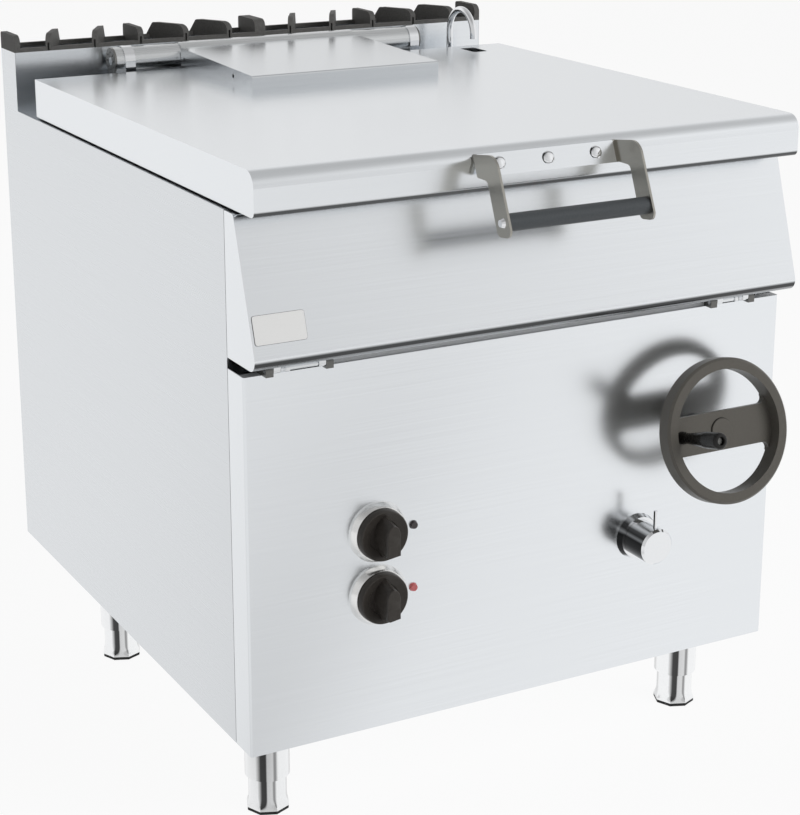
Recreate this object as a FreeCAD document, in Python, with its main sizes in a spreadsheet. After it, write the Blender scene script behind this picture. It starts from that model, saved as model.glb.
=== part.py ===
"""Tilting bratt pan, 800 mm module: cabinet, tilting pan, hinged lid, screw jack and controls.

Lengths in millimetres, angles in degrees. X runs to the right of the operator, Y to the rear, Z up.
Inside the sheet's values Y is counted from the face of the lower front panel and Z from the floor.
"""

import FreeCAD, Part
import math
import os
import re
import Sketcher
from FreeCAD import Placement, Rotation, Vector

doc = FreeCAD.newDocument("tilting_bratt_pan")
sheet = doc.addObject("Spreadsheet::Sheet", "Sizes")

SIZES = {
    # Cabinet
    "body_width": 800.0,
    "body_depth": 868.0,
    "body_bottom": 135.5,
    "panel_top": 635.0,
    "side_top": 830.5,
    "upstand_top": 917.5,
    "upstand_face": 804.0,
    "sheet": 1.5,
    "bottom_sheet": 2.0,
    "panel_return": 45.0,
    "seam": 1.0,
    "side_flange": 15.0,
    "flange_drop": 12.0,
    "duct_floor": 560.0,
    "post_size": 25.0,
    "post_wall": 2.0,
    "post_top": 620.0,
    "vent_from_middle": 200.0,
    "vent_length": 120.0,
    "vent_height": 8.0,
    "vent_flat": 0.2,
    "vent_pitch": 22.0,
    "vent_start": 220.0,
    # Legs and feet
    "leg_across": 331.0,
    "leg_front": 104.0,
    "leg_rear": 640.0,
    "leg_radius": 30.0,
    "leg_wall": 2.0,
    "leg_bottom": 50.0,
    "leg_nut_depth": 12.0,
    "foot_neck_radius": 25.75,
    "foot_flats": 56.0,
    "foot_base_height": 9.0,
    "foot_flare_radius": 16.0,
    "foot_waist_radius": 20.5,
    "foot_waist_rise": 8.0,
    "foot_neck_height": 14.0,
    "stem_radius": 8.0,
    "stem_length": 55.0,
    "pad_height": 5.0,
    "pad_inset": 1.5,
    # Running clearances
    "run_fit": 0.05,
    "free_gap": 0.3,
    # Tilt axis and its pins
    "tilt_y": -8.0,
    "tilt_z": 642.5,
    "pivot_radius": 3.2,
    "pivot_lug_radius": 4.8,
    "left_pin_start": -376.0,
    "left_pin_end": -286.0,
    "right_pin_start": 277.0,
    "right_pin_end": 349.0,
    "pivot_block": 10.0,
    "pivot_lug_width": 9.0,
    # Front rail
    "rail_front": 2.0,
    "rail_depth": 13.0,
    "rail_bottom": 598.0,
    # Rear rest of the pan
    "rest_y": 615.0,
    "rest_width": 26.0,
    "rest_bottom": 565.0,
    "rest_top": 605.0,
    "buffer_radius": 12.0,
    "buffer_taper": 3.0,
    "buffer_across": 250.0,
    # Pan tub and deck
    "tub_half_width": 357.0,
    "tub_front": 90.0,
    "tub_rear": 640.0,
    "tub_bottom": 638.0,
    "tub_floor": 12.0,
    "tub_wall": 3.0,
    "lip_cut": 12.0,
    "tub_corner": 62.0,
    "tub_rim": 845.0,
    "tub_floor_round": 20.0,
    "tub_base_round": 12.0,
    "deck_top": 830.0,
    "deck_sheet": 2.0,
    "deck_half_width": 384.0,
    "deck_rear": 803.0,
    "deck_skirt": 60.0,
    "lip_width": 120.0,
    "lip_front": 30.0,
    "lip_depth": 10.0,
    # Sloping fascia of the pan
    "fascia_bottom": 649.0,
    "fascia_front": -39.2,
    "fascia_top_y": 19.1,
    "fascia_round": 14.0,
    "fascia_top_round": 5.0,
    # Heating
    "heater_radius": 4.25,
    "heater_pitch": 50.0,
    "heater_front": 240.0,
    "heater_half_span": 300.0,
    "tray_front": 215.0,
    "tray_rear": 590.0,
    "tray_half_width": 340.0,
    "tray_depth": 34.0,
    # Screw jack
    "jack_x": 265.0,
    "jack_foot_y": 20.0,
    "jack_head_z": 601.0,
    "housing_radius": 15.0,
    "housing_reach": 192.0,
    "case_radius": 16.0,
    "case_half": 14.5,
    "push_radius": 12.0,
    "push_wall": 3.0,
    "push_length": 186.0,
    "push_nut": 18.0,
    "screw_radius": 7.0,
    "screw_start": 17.0,
    "screw_reach": 186.0,
    "jack_pin_radius": 6.0,
    "pin_overhang": 2.0,
    "eye_play": 0.5,
    "clevis_gap": 32.0,
    "clevis_sheet": 8.0,
    "clevis_radius": 14.0,
    "eye_radius": 12.5,
    "bracket_gap": 31.0,
    "bracket_sheet": 4.0,
    "bracket_height": 44.0,
    "bracket_depth": 34.0,
    "bracket_flange": 20.0,
    # Handwheel on its inclined shaft
    "shaft_height": 464.7,
    "shaft_tilt": 14.1,
    "shaft_radius": 8.0,
    "shaft_gap": 1.8,
    "wheel_reach": 82.5,
    "wheel_radius": 97.5,
    "rim_width": 15.0,
    "rim_depth": 24.5,
    "rim_chamfer": 3.0,
    "web_width": 52.0,
    "web_set_back": 17.5,
    "web_thickness": 9.0,
    "web_fillet": 8.0,
    "web_fillet": 8.0,
    "hub_radius": 22.0,
    "hub_length": 34.0,
    "hub_cap_radius": 16.0,
    "hub_cap_height": 4.0,
    "cap_bevel": 3.0,
    "crank_throw": 65.0,
    "crank_length": 86.0,
    "crank_collar": 4.0,
    "crank_waist": 14.0,
    "crank_waist_round": 12.0,
    "crank_head": 30.0,
    "crank_head_round": 30.0,
    "crank_tip_round": 4.0,
    "crank_tip_radius": 11.0,
    "crank_waist_radius": 7.0,
    "crank_base_radius": 8.5,
    "spindle_radius": 4.0,
    "socket_radius": 5.5,
    "socket_depth": 6.0,
    "bearing_length": 12.0,
    "bearing_inside": 3.0,
    "bush_wall": 3.0,
    "bore_over": 10.0,
    "plate_play": 2.0,
    "panel_play": 4.0,
    "bearing_flange_radius": 20.0,
    # Lid
    "lid_half_width": 395.0,
    "lid_front": -29.0,
    "lid_rear": 732.0,
    "lid_bottom": 833.0,
    "lid_top": 888.0,
    "lid_sheet": 2.0,
    "nose_top_round": 20.0,
    "nose_bottom_round": 8.0,
    "nose_return": 22.0,
    "slot_left": 308.0,
    "slot_right": 333.0,
    "slot_front": 664.0,
    "slot_rear": 709.0,
    "slot_round": 4.0,
    # Lid hinge
    "hinge_y": 775.0,
    "hinge_z": 899.5,
    "hinge_radius": 20.0,
    "hinge_half": 258.0,
    "hinge_wall": 2.5,
    "knuckle_radius": 22.0,
    "saddle_left": -237.5,
    "saddle_right": 249.5,
    "saddle_width": 16.0,
    "saddle_depth": 44.0,
    "strap_sheet": 1.5,
    "bar_radius": 6.0,
    "cap_thickness": 3.4,
    "cap_hole_radius": 1.6,
    "cap_hole_circle": 13.0,
    "box_left": -156.0,
    "box_right": 146.0,
    "box_front": 495.0,
    "box_rear": 754.0,
    "box_front_height": 19.5,
    "box_rear_height": 27.0,
    "box_round": 3.0,
    "box_hole_front": 65.0,
    "box_hole_rear": 246.0,
    "box_hole_rise": 11.0,
    "box_hole_radius": 3.0,
    # Water spout over the lid slot
    "spout_x": 317.7,
    "spout_y": 759.0,
    "spout_radius": 5.0,
    "spout_base_radius": 12.0,
    "spout_base_height": 4.0,
    "spout_bore": 3.8,
    "spout_bend": 37.5,
    "spout_bend_z": 911.0,
    "spout_end_z": 906.0,
    # Lid handle
    "handle_left": -104.0,
    "handle_right": 105.0,
    "handle_sheet": 3.0,
    "base_top_y": -28.5,
    "base_top_z": 881.0,
    "base_bottom_y": -40.0,
    "base_bottom_z": 855.0,
    "arm_knee_y": -80.0,
    "arm_knee_z": 889.0,
    "arm_knee_round": 22.0,
    "arm_inner_y": -63.0,
    "arm_tip": 21.0,
    "arm_tip_drop": 15.0,
    "arm_tip_lean": 4.0,
    "arm_tip_round": 9.0,
    "arm_inner_round": 8.0,
    "screw_head": 3.0,
    "screw_slot": 1.6,
    "screw_slot_depth": 1.2,
    "grip_y": -100.0,
    "grip_z": 811.0,
    "grip_radius": 11.0,
    "grip_bolt_radius": 4.0,
    "grip_nut_radius": 6.5,
    "nut_bevel": 2.0,
    "nut_height": 4.0,
    "base_screw_radius": 6.5,
    "base_screw_spacing": 70.0,
    "base_screw_z": 869.0,
    # Controls
    "control_x": -219.5,
    "selector_z": 406.0,
    "thermostat_z": 320.5,
    "lamp_offset": 50.9,
    "bezel_radius": 40.3,
    "bezel_thickness": 2.0,
    "knob_radius": 35.5,
    "knob_skirt": 13.0,
    "knob_height": 30.0,
    "knob_grip_width": 17.0,
    "knob_grip_inset": 4.0,
    "knob_grip_flat": 0.3,
    "knob_shaft_radius": 3.0,
    "knob_shaft_length": 20.0,
    "lamp_radius": 6.0,
    "lamp_height": 4.0,
    "lamp_bevel": 1.5,
    "lamp_nut_wall": 1.0,
    "lamp_nut_height": 4.0,
    "lamp_depth": 25.0,
    "switch_side": 50.0,
    "switch_depth": 48.0,
    "switch_step": 10.0,
    "plug_x": 268.0,
    "plug_z": 430.0,
    "plug_radius": 14.0,
    "plug_step": 2.0,
    # Water tap
    "tap_x": 178.0,
    "tap_z": 325.0,
    "rose_radius": 32.0,
    "rose_height": 9.0,
    "rose_bevel": 3.0,
    "tap_radius": 25.0,
    "tap_reach": 50.0,
    "tap_pin_radius": 2.5,
    "tap_pin_tip": 50.0,
    "tap_pin_y": 42.0,
    "tap_stem": 12.0,
    "tap_bevel": 3.0,
    "tap_pin_root": 4.0,
    "pipe_radius": 9.0,
    "stem_step": 3.0,
    "valve_radius": 16.0,
    "valve_depth": 60.0,
    "valve_drop": 30.0,
    "supply_front": 48.0,
    "supply_z": 210.0,
    "supply_bend": 40.0,
    "supply_radius": 7.5,
    "supply_bore": 6.5,
    # Flue grille
    "grate_height": 25.0,
    "fin_thickness": 9.0,
    "grate_bar": 6.0,
    "fin_near": 48.0,
    "fin_far": 121.0,
    "fin_lean": 36.0,
    "fin_front_round": 12.0,
    "fin_rear_round": 4.0,
    "fin_rear_slope": 11.0,
    "fin_notch": 3.0,
    "fin_notch_depth": 5.0,
    "fin_notch_top": 12.0,
    # Services
    "inlet_y": 780.0,
    "inlet_radius": 10.5,
    "inlet_drop": 20.0,
    "gland_x": -260.0,
    "gland_radius": 14.0,
    "gland_bore": 9.0,
    "gland_drop": 18.0,
    "gland_step": 3.0,
    "terminal_length": 82.0,
    "terminal_base_depth": 30.0,
    "terminal_base_height": 14.0,
    "terminal_pitch": 15.0,
    "terminal_width": 12.0,
    "terminal_depth": 22.0,
    "terminal_height": 18.0,
    "terminal_edge": 4.0,
    "terminal_y": 690.0,
    "contactor_y": 590.0,
    "contactor_width": 60.0,
    "contactor_depth": 78.0,
    "contactor_height": 75.0,
    "contactor_step": 14.0,
    "contactor_top_width": 44.0,
    "contactor_top_depth": 50.0,
}

for row, (alias, number) in enumerate(SIZES.items(), 1):
    sheet.set("A%d" % row, alias)
    sheet.set("B%d" % row, str(number))
    sheet.setAlias("B%d" % row, alias)
doc.recompute()

VENT_ROWS = 8
HEATER_LOOPS = 3
CAP_HOLES = 8
TERMINALS = 5
WORD = re.compile(r"[A-Za-z_]\w*")
PARTS = {}


def linked(text):
    """Write a sum of size names as an expression on the sheet."""
    return WORD.sub(lambda m: "Sizes." + m.group() if m.group() in SIZES else m.group(), str(text))


def value(text):
    """Work out a sum of size names as a number."""
    words = re.findall(r"[A-Za-z_]\w*|[\d.]+|[-+*/()]", str(text))
    return evaluate(words)


def evaluate(words):
    """Add and subtract the terms at the head of a list of words."""
    total = term(words)
    while words and words[0] in "+-":
        sign = words.pop(0)
        step = term(words)
        total = total + step if sign == "+" else total - step
    return total


def term(words):
    """Multiply and divide the factors at the head of a list of words."""
    product = factor(words)
    while words and words[0] in "*/":
        sign = words.pop(0)
        step = factor(words)
        product = product * step if sign == "*" else product / step
    return product


def factor(words):
    """Read one signed number, size name or bracket from the head of a list of words."""
    word = words.pop(0)
    if word == "-":
        return -factor(words)
    if word == "(":
        inner = evaluate(words)
        words.pop(0)
        return inner
    return float(sheet.get(word)) if word in SIZES else float(word)


def bind(thing, sizes):
    """Tie properties of an object to the sheet."""
    for name, text in sizes.items():
        thing.setExpression(name, linked(text))


def keep(node, thing, placement=None):
    """Record an object as the finished sub-part of that name; a bare primitive gets a holder."""
    if thing.TypeId in ("Part::Box", "Part::Cylinder", "Part::Cone"):
        thing = group(node, [thing])
    thing.Label = node
    PARTS[node] = (thing, placement or Placement())
    return thing


def box(name, low, size):
    """Rectangular block from its low corner and its three lengths."""
    block = doc.addObject("Part::Box", name)
    bind(block, {
        "Length": size[0], "Width": size[1], "Height": size[2],
        "Placement.Base.x": low[0], "Placement.Base.y": low[1], "Placement.Base.z": low[2],
    })
    return block


TURN = {
    "X": Rotation(Vector(0, 1, 0), 90),
    "Y": Rotation(Vector(1, 0, 0), -90),
    "Z": Rotation(),
}


def rod(name, radius, length, start, axis="Z"):
    """Round bar that starts at a point and runs along the positive side of an axis."""
    bar = doc.addObject("Part::Cylinder", name)
    bar.Placement = Placement(Vector(), TURN[axis])
    bind(bar, {
        "Radius": radius, "Height": length,
        "Placement.Base.x": start[0], "Placement.Base.y": start[1], "Placement.Base.z": start[2],
    })
    return bar


def cone(name, first, last, length, start, axis="Z"):
    """Tapered round bar along an axis."""
    bar = doc.addObject("Part::Cone", name)
    bar.Placement = Placement(Vector(), TURN[axis])
    bind(bar, {
        "Radius1": first, "Radius2": last, "Height": length,
        "Placement.Base.x": start[0], "Placement.Base.y": start[1], "Placement.Base.z": start[2],
    })
    return bar


def fuse(name, items):
    """Weld pieces into one."""
    whole = doc.addObject("Part::MultiFuse", name)
    whole.Shapes = items
    whole.Refine = True
    return whole


def group(name, items):
    """Keep like pieces together as separate solids."""
    several = doc.addObject("Part::Compound", name)
    several.Links = items
    return several


def cut(name, base, tools):
    """Take tools away from a piece."""
    result = doc.addObject("Part::Cut", name)
    result.Base = base
    result.Tool = tools[0] if len(tools) == 1 else fuse(name + "_tools", tools)
    result.Refine = True
    return result


def pipe(name, radius, bore, length, start, axis="Z"):
    """Round tube along an axis."""
    return cut(name, rod(name + "_outside", radius, length, start, axis),
               [rod(name + "_inside", bore, length, start, axis)])


def mirror_x(name, source):
    """Mirrored copy of a piece on the other side of the middle plane."""
    copy = doc.addObject("Part::Mirroring", name)
    copy.Source = source
    copy.Normal = Vector(1, 0, 0)
    return copy


def body(name):
    """Empty body for sketches and their features."""
    return doc.addObject("PartDesign::Body", name)


def sketch(owner, name, plane, offset="0"):
    """Sketch on one of the body's own origin planes, moved along its normal."""
    drawing = owner.newObject("Sketcher::SketchObject", name)
    support = [item for item in owner.Origin.OriginFeatures if item.Role == plane][0]
    drawing.AttachmentSupport = [(support, "")]
    drawing.MapMode = "FlatFace"
    bind(drawing, {"AttachmentOffset.Base.z": offset})
    return drawing


def pin_point(drawing, geometry, end, x_text, y_text):
    """Fix one point of a sketch by its distances from the origin."""
    for kind, text in (("DistanceX", x_text), ("DistanceY", y_text)):
        row = drawing.addConstraint(Sketcher.Constraint(kind, -1, 1, geometry, end, value(text)))
        drawing.setExpression("Constraints[%d]" % row, linked(text))


def hole(drawing, x_text, y_text, radius):
    """Circle in a sketch."""
    centre = Vector(value(x_text), value(y_text), 0)
    circle = drawing.addGeometry(Part.Circle(centre, Vector(0, 0, 1), value(radius)), False)
    pin_point(drawing, circle, 3, x_text, y_text)
    row = drawing.addConstraint(Sketcher.Constraint("Radius", circle, value(radius)))
    drawing.setExpression("Constraints[%d]" % row, linked(radius))


def outline(drawing, corners):
    """Closed outline of straight runs; a corner with a third item is rounded to that radius."""
    points = [Vector(value(corner[0]), value(corner[1]), 0) for corner in corners]
    count = len(points)
    leave, arrive, arcs = [], [], []
    for i, corner in enumerate(corners):
        back = (points[i - 1] - points[i]).normalize()
        ahead = (points[(i + 1) % count] - points[i]).normalize()
        if len(corner) == 2:
            arrive.append(points[i])
            leave.append(points[i])
            arcs.append(None)
            continue
        half = back.getAngle(ahead) / 2
        reach = value(corner[2]) / math.tan(half)
        middle = points[i] + (back + ahead).normalize() * (value(corner[2]) / math.sin(half))
        arrive.append(points[i] + back * reach)
        leave.append(points[i] + ahead * reach)
        arcs.append((middle, value(corner[2]), back.cross(ahead).z < 0))
    lines = []
    for i in range(count):
        run = Part.LineSegment(leave[i], arrive[(i + 1) % count])
        lines.append(drawing.addGeometry(run, False))
    for i, corner in enumerate(corners):
        before, after = lines[i - 1], lines[i]
        if arcs[i] is None:
            drawing.addConstraint(Sketcher.Constraint("Coincident", before, 2, after, 1))
            pin_point(drawing, after, 1, corner[0], corner[1])
            continue
        middle, radius, left_turn = arcs[i]
        first, last = (arrive[i], leave[i]) if left_turn else (leave[i], arrive[i])
        start = math.atan2(first.y - middle.y, first.x - middle.x)
        stop = math.atan2(last.y - middle.y, last.x - middle.x)
        circle = Part.Circle(middle, Vector(0, 0, 1), radius)
        arc = drawing.addGeometry(Part.ArcOfCircle(circle, start, stop), False)
        near, far = (1, 2) if left_turn else (2, 1)
        drawing.addConstraint(Sketcher.Constraint("Tangent", before, 2, arc, near))
        drawing.addConstraint(Sketcher.Constraint("Tangent", arc, far, after, 1))
        row = drawing.addConstraint(Sketcher.Constraint("Radius", arc, radius))
        drawing.setExpression("Constraints[%d]" % row, linked(corner[2]))
        knee = drawing.addGeometry(Part.Point(points[i]), True)
        pin_point(drawing, knee, 1, corner[0], corner[1])
        drawing.addConstraint(Sketcher.Constraint("PointOnObject", knee, 1, before))
        drawing.addConstraint(Sketcher.Constraint("PointOnObject", knee, 1, after))


def rectangle(drawing, low_x, low_y, high_x, high_y, radius=None):
    """Rectangle in a sketch, with its corners rounded where a radius is given."""
    corners = [(low_x, low_y), (high_x, low_y), (high_x, high_y), (low_x, high_y)]
    outline(drawing, [corner + (radius,) if radius else corner for corner in corners])


def pad(owner, drawing, length):
    """Solid raised from a sketch along its normal."""
    feature = owner.newObject("PartDesign::Pad", drawing.Name + "_pad")
    feature.Profile = drawing
    bind(feature, {"Length": length})
    return feature


def pocket(owner, drawing, length):
    """Hollow sunk from a sketch against its normal."""
    feature = owner.newObject("PartDesign::Pocket", drawing.Name + "_pocket")
    feature.Profile = drawing
    bind(feature, {"Length": length})
    return feature


def through(owner, drawing):
    """Opening through the whole body, both ways from a sketch."""
    feature = owner.newObject("PartDesign::Pocket", drawing.Name + "_through")
    feature.Profile = drawing
    feature.Type = "ThroughAll"
    feature.Midplane = True
    return feature


def revolve(owner, drawing, axis="V_Axis"):
    """Solid turned from a sketch about one of its axes."""
    feature = owner.newObject("PartDesign::Revolution", drawing.Name + "_turned")
    feature.Profile = drawing
    feature.ReferenceAxis = (drawing, [axis])
    feature.Angle = 360
    return feature


def round_edges(owner, base, radius, chosen):
    """Fillet of the edges whose middle point and direction a test picks."""
    doc.recompute()
    names = []
    for number, edge in enumerate(base.Shape.Edges, 1):
        middle = edge.valueAt((edge.FirstParameter + edge.LastParameter) / 2)
        direction = edge.tangentAt(edge.FirstParameter)
        if chosen(middle, direction):
            names.append("Edge%d" % number)
    feature = owner.newObject("PartDesign::Fillet", base.Name + "_round")
    feature.Base = (base, names)
    bind(feature, {"Radius": radius})
    return feature


# Cabinet shell

inner_half = "body_width / 2 - sheet"
side_front = "panel_return + seam"


def front_control_panel():
    """Folded front: face, two side returns and a top edge, with the holes of the controls."""
    panel = body("front_control_panel")
    plan = sketch(panel, "panel_plan", "XY_Plane", "body_bottom")
    half = "body_width / 2"
    outline(plan, [
        ("-(%s)" % half, "0", "sheet * 2"), (half, "0", "sheet * 2"),
        (half, "panel_return"), (inner_half, "panel_return"),
        (inner_half, "sheet"), ("-(%s)" % inner_half, "sheet"),
        ("-(%s)" % inner_half, "panel_return"), ("-(%s)" % half, "panel_return"),
    ])
    pad(panel, plan, "panel_top - body_bottom")
    edge = sketch(panel, "panel_edge", "XY_Plane", "panel_top - sheet")
    rectangle(edge, "-(%s)" % inner_half, "sheet", inner_half, "rail_front + rail_depth")
    pad(panel, edge, "sheet")
    face = sketch(panel, "panel_holes", "XZ_Plane", "-sheet")
    for place in ("selector_z", "thermostat_z"):
        hole(face, "control_x", place, "knob_shaft_radius + 1")
        hole(face, "control_x + lamp_offset", place, "lamp_radius - 1")
    hole(face, "plug_x", "plug_z", "plug_radius - plug_step")
    hole(face, "tap_x", "tap_z", "pipe_radius + 1")
    hole(face, "jack_x", "shaft_height", "shaft_radius + panel_play")
    through(panel, face)
    return keep("front_control_panel", panel)


def side_panels():
    """Side sheets, each with its upstand at the rear and a folded top edge."""
    panel = body("left_side_panel")
    profile = sketch(panel, "side_profile", "YZ_Plane", "-body_width / 2")
    outline(profile, [
        (side_front, "body_bottom"), ("body_depth", "body_bottom"), ("body_depth", "upstand_top"),
        ("upstand_face", "upstand_top"), ("upstand_face", "side_top"), (side_front, "side_top"),
    ])
    pad(panel, profile, "sheet")
    fold = sketch(panel, "side_fold", "XY_Plane", "side_top - sheet")
    rectangle(fold, "-body_width / 2", side_front, "-body_width / 2 + side_flange", "upstand_face")
    pad(panel, fold, "sheet")
    drop = sketch(panel, "side_drop", "XY_Plane", "side_top - flange_drop")
    rectangle(drop, "-body_width / 2 + side_flange - sheet", side_front,
              "-body_width / 2 + side_flange", "upstand_face")
    pad(panel, drop, "flange_drop")
    keep("left_side_panel", panel)
    keep("right_side_panel", mirror_x("right_side_panel", panel), "follows")


def bottom_panel():
    """Floor of the cabinet, drilled for the legs, the water inlet and the cable."""
    panel = body("bottom_panel")
    plan = sketch(panel, "bottom_plan", "XY_Plane", "body_bottom")
    rectangle(plan, "-(%s)" % inner_half, "sheet", inner_half, "body_depth - sheet")
    hole(plan, "tap_x", "inlet_y", "supply_radius + run_fit")
    hole(plan, "gland_x", "inlet_y", "gland_radius - gland_step")
    for side in ("-leg_across", "leg_across"):
        for place in ("leg_front", "leg_rear"):
            hole(plan, side, place, "stem_radius + 2")
    pad(panel, plan, "bottom_sheet")
    return keep("bottom_panel", panel)


def back_panel():
    """Rear sheet with two columns of vent slots."""
    panel = body("back_panel")
    face = sketch(panel, "back_face", "XZ_Plane", "-body_depth + sheet")
    rectangle(face, "-(%s)" % inner_half, "body_bottom + bottom_sheet", inner_half, "upstand_top")
    sheet_pad = pad(panel, face, "sheet")
    sheet_pad.Reversed = True
    for column, middle in (("left", "-vent_from_middle"), ("right", "vent_from_middle")):
        slot = sketch(panel, column + "_vent", "XZ_Plane", "-body_depth + sheet")
        rectangle(slot, middle + " - vent_length / 2", "vent_start",
                  middle + " + vent_length / 2", "vent_start + vent_height", "vent_height / 2 - vent_flat")
        first = through(panel, slot)
        rows = panel.newObject("PartDesign::LinearPattern", column + "_vents")
        rows.Originals = [first]
        rows.Direction = (slot, ["V_Axis"])
        rows.Occurrences = VENT_ROWS
        bind(rows, {"Length": "%d * vent_pitch" % (VENT_ROWS - 1)})
        panel.Tip = rows
    return keep("back_panel", panel)


def flue_duct():
    """Upstand behind the pan: front wall and floor of the flue."""
    duct = body("flue_duct")
    profile = sketch(duct, "duct_profile", "YZ_Plane", "-(%s)" % inner_half)
    outline(profile, [
        ("upstand_face", "duct_floor"), ("body_depth - sheet", "duct_floor"),
        ("body_depth - sheet", "duct_floor + sheet"), ("upstand_face + sheet", "duct_floor + sheet"),
        ("upstand_face + sheet", "upstand_top"), ("upstand_face", "upstand_top"),
    ])
    pad(duct, profile, "2 * (%s)" % inner_half)
    return keep("flue_duct", duct)


def frame():
    """Corner posts, front rail and the rear rail with the rubber rests of the pan."""
    posts = []
    floor = "body_bottom + bottom_sheet"
    for side, low_x in (("left", "-(%s)" % inner_half), ("right", inner_half + " - post_size")):
        for end, low_y in (("front", "rail_front"), ("rear", "upstand_face - post_size")):
            post = box(side + end + "_post", (low_x, low_y, floor),
                       ("post_size", "post_size", "post_top - (%s)" % floor))
            bore = box(side + end + "_post_bore", (low_x + " + post_wall", low_y + " + post_wall", floor),
                       ("post_size - 2 * post_wall", "post_size - 2 * post_wall",
                        "post_top - (%s)" % floor))
            posts.append(cut(side + end + "_post_tube", post, [bore]))
    keep("corner_posts", group("corner_posts", posts))

    rail = body("front_rail")
    profile = sketch(rail, "rail_profile", "YZ_Plane", "-(%s) + post_size" % inner_half)
    outline(profile, [
        ("rail_front", "rail_bottom"), ("rail_front + rail_depth", "rail_bottom"),
        ("rail_front + rail_depth", "panel_top - sheet"), ("rail_front", "panel_top - sheet"),
    ])
    outline(profile, [
        ("rail_front + sheet", "rail_bottom + sheet"),
        ("rail_front + rail_depth - sheet", "rail_bottom + sheet"),
        ("rail_front + rail_depth - sheet", "panel_top - 2 * sheet"),
        ("rail_front + sheet", "panel_top - 2 * sheet"),
    ])
    pad(rail, profile, "2 * (%s) - 2 * post_size" % inner_half)
    keep("front_rail", rail)

    rest = body("pan_rest_rail")
    profile = sketch(rest, "rest_profile", "YZ_Plane", "-(%s)" % inner_half)
    low_y = "rest_y - rest_width / 2"
    high_y = "rest_y + rest_width / 2"
    outline(profile, [
        (low_y, "rest_bottom"), (low_y + " + post_wall", "rest_bottom"),
        (low_y + " + post_wall", "rest_top - post_wall"), (high_y + " - post_wall", "rest_top - post_wall"),
        (high_y + " - post_wall", "rest_bottom"), (high_y, "rest_bottom"),
        (high_y, "rest_top"), (low_y, "rest_top"),
    ])
    pad(rest, profile, "2 * (%s)" % inner_half)
    keep("pan_rest_rail", rest)
    height = "tub_bottom - free_gap - rest_top"
    keep("rest_buffers", group("rest_buffers", [
        cone("left_buffer", "buffer_radius", "buffer_radius - buffer_taper", height, ("-buffer_across", "rest_y", "rest_top")),
        cone("right_buffer", "buffer_radius", "buffer_radius - buffer_taper", height, ("buffer_across", "rest_y", "rest_top")),
    ]))


front_control_panel()
side_panels()
bottom_panel()
back_panel()
flue_duct()
frame()


# Legs and their levelling feet

def legs():
    """Leg tubes under the cabinet, each closed below by a threaded plate."""
    tubes = []
    places = [(across, along) for along in ("leg_front", "leg_rear") for across in ("-leg_across", "leg_across")]
    for number, (across, along) in enumerate(places, 1):
        tube = rod("leg_outside_%d" % number, "leg_radius", "body_bottom - leg_bottom",
                   (across, along, "leg_bottom"))
        bore = rod("leg_inside_%d" % number, "leg_radius - leg_wall",
                   "body_bottom - leg_bottom - leg_nut_depth",
                   (across, along, "leg_bottom + leg_nut_depth"))
        thread = rod("leg_thread_%d" % number, "stem_radius + run_fit", "leg_nut_depth",
                     (across, along, "leg_bottom"))
        tubes.append(cut("leg_tube_%d" % number, tube, [bore, thread]))
    keep("leg_tubes", group("leg_tubes", tubes))


def foot():
    """Levelling foot: octagonal base, hollow flare, round neck, threaded stem and rubber pad."""
    flats = body("foot_base")
    plan = sketch(flats, "foot_octagon", "XY_Plane", "pad_height")
    reach = "foot_flats / 2"
    nib = "%.6f * foot_flats" % (math.tan(math.radians(22.5)) / 2)
    outline(plan, [
        (reach, "-" + nib), (reach, nib), (nib, reach), ("-" + nib, reach),
        ("-" + reach, nib), ("-" + reach, "-" + nib), ("-" + nib, "-" + reach), (nib, "-" + reach),
    ])
    pad(flats, plan, "foot_base_height")
    column = body("foot_column")
    turned = sketch(column, "foot_turned", "XZ_Plane")
    outline(turned, [
        ("0", "pad_height + 1"), ("foot_flats / 2 - 1", "pad_height + 1"),
        ("foot_flats / 2 - 1", "pad_height + foot_base_height"),
        ("foot_waist_radius", "pad_height + foot_base_height + foot_waist_rise", "foot_flare_radius"),
        ("foot_neck_radius", "leg_bottom - foot_neck_height"),
        ("foot_neck_radius", "leg_bottom - free_gap"),
        ("stem_radius", "leg_bottom - free_gap"), ("stem_radius", "leg_bottom + stem_length"),
        ("0", "leg_bottom + stem_length"),
    ])
    revolve(column, turned)
    sole = rod("foot_sole", "foot_flats / 2 - pad_inset", "pad_height", ("0", "0", "0"))
    return group("foot_pattern", [fuse("foot_metal", [flats, column]), sole])


def feet():
    """Four feet from one pattern."""
    pattern = foot()
    doc.recompute()
    for side, across in (("left", "-leg_across"), ("right", "leg_across")):
        for end, along in (("front", "leg_front"), ("rear", "leg_rear")):
            spot = Placement(Vector(value(across), value(along), 0), Rotation())
            whole = doc.addObject("Part::Feature", "%s_%s_foot" % (end, side))
            whole.Shape = pattern.Shape
            keep("%s_%s_foot" % (end, side), whole, spot)


legs()
feet()


# Pan

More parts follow.
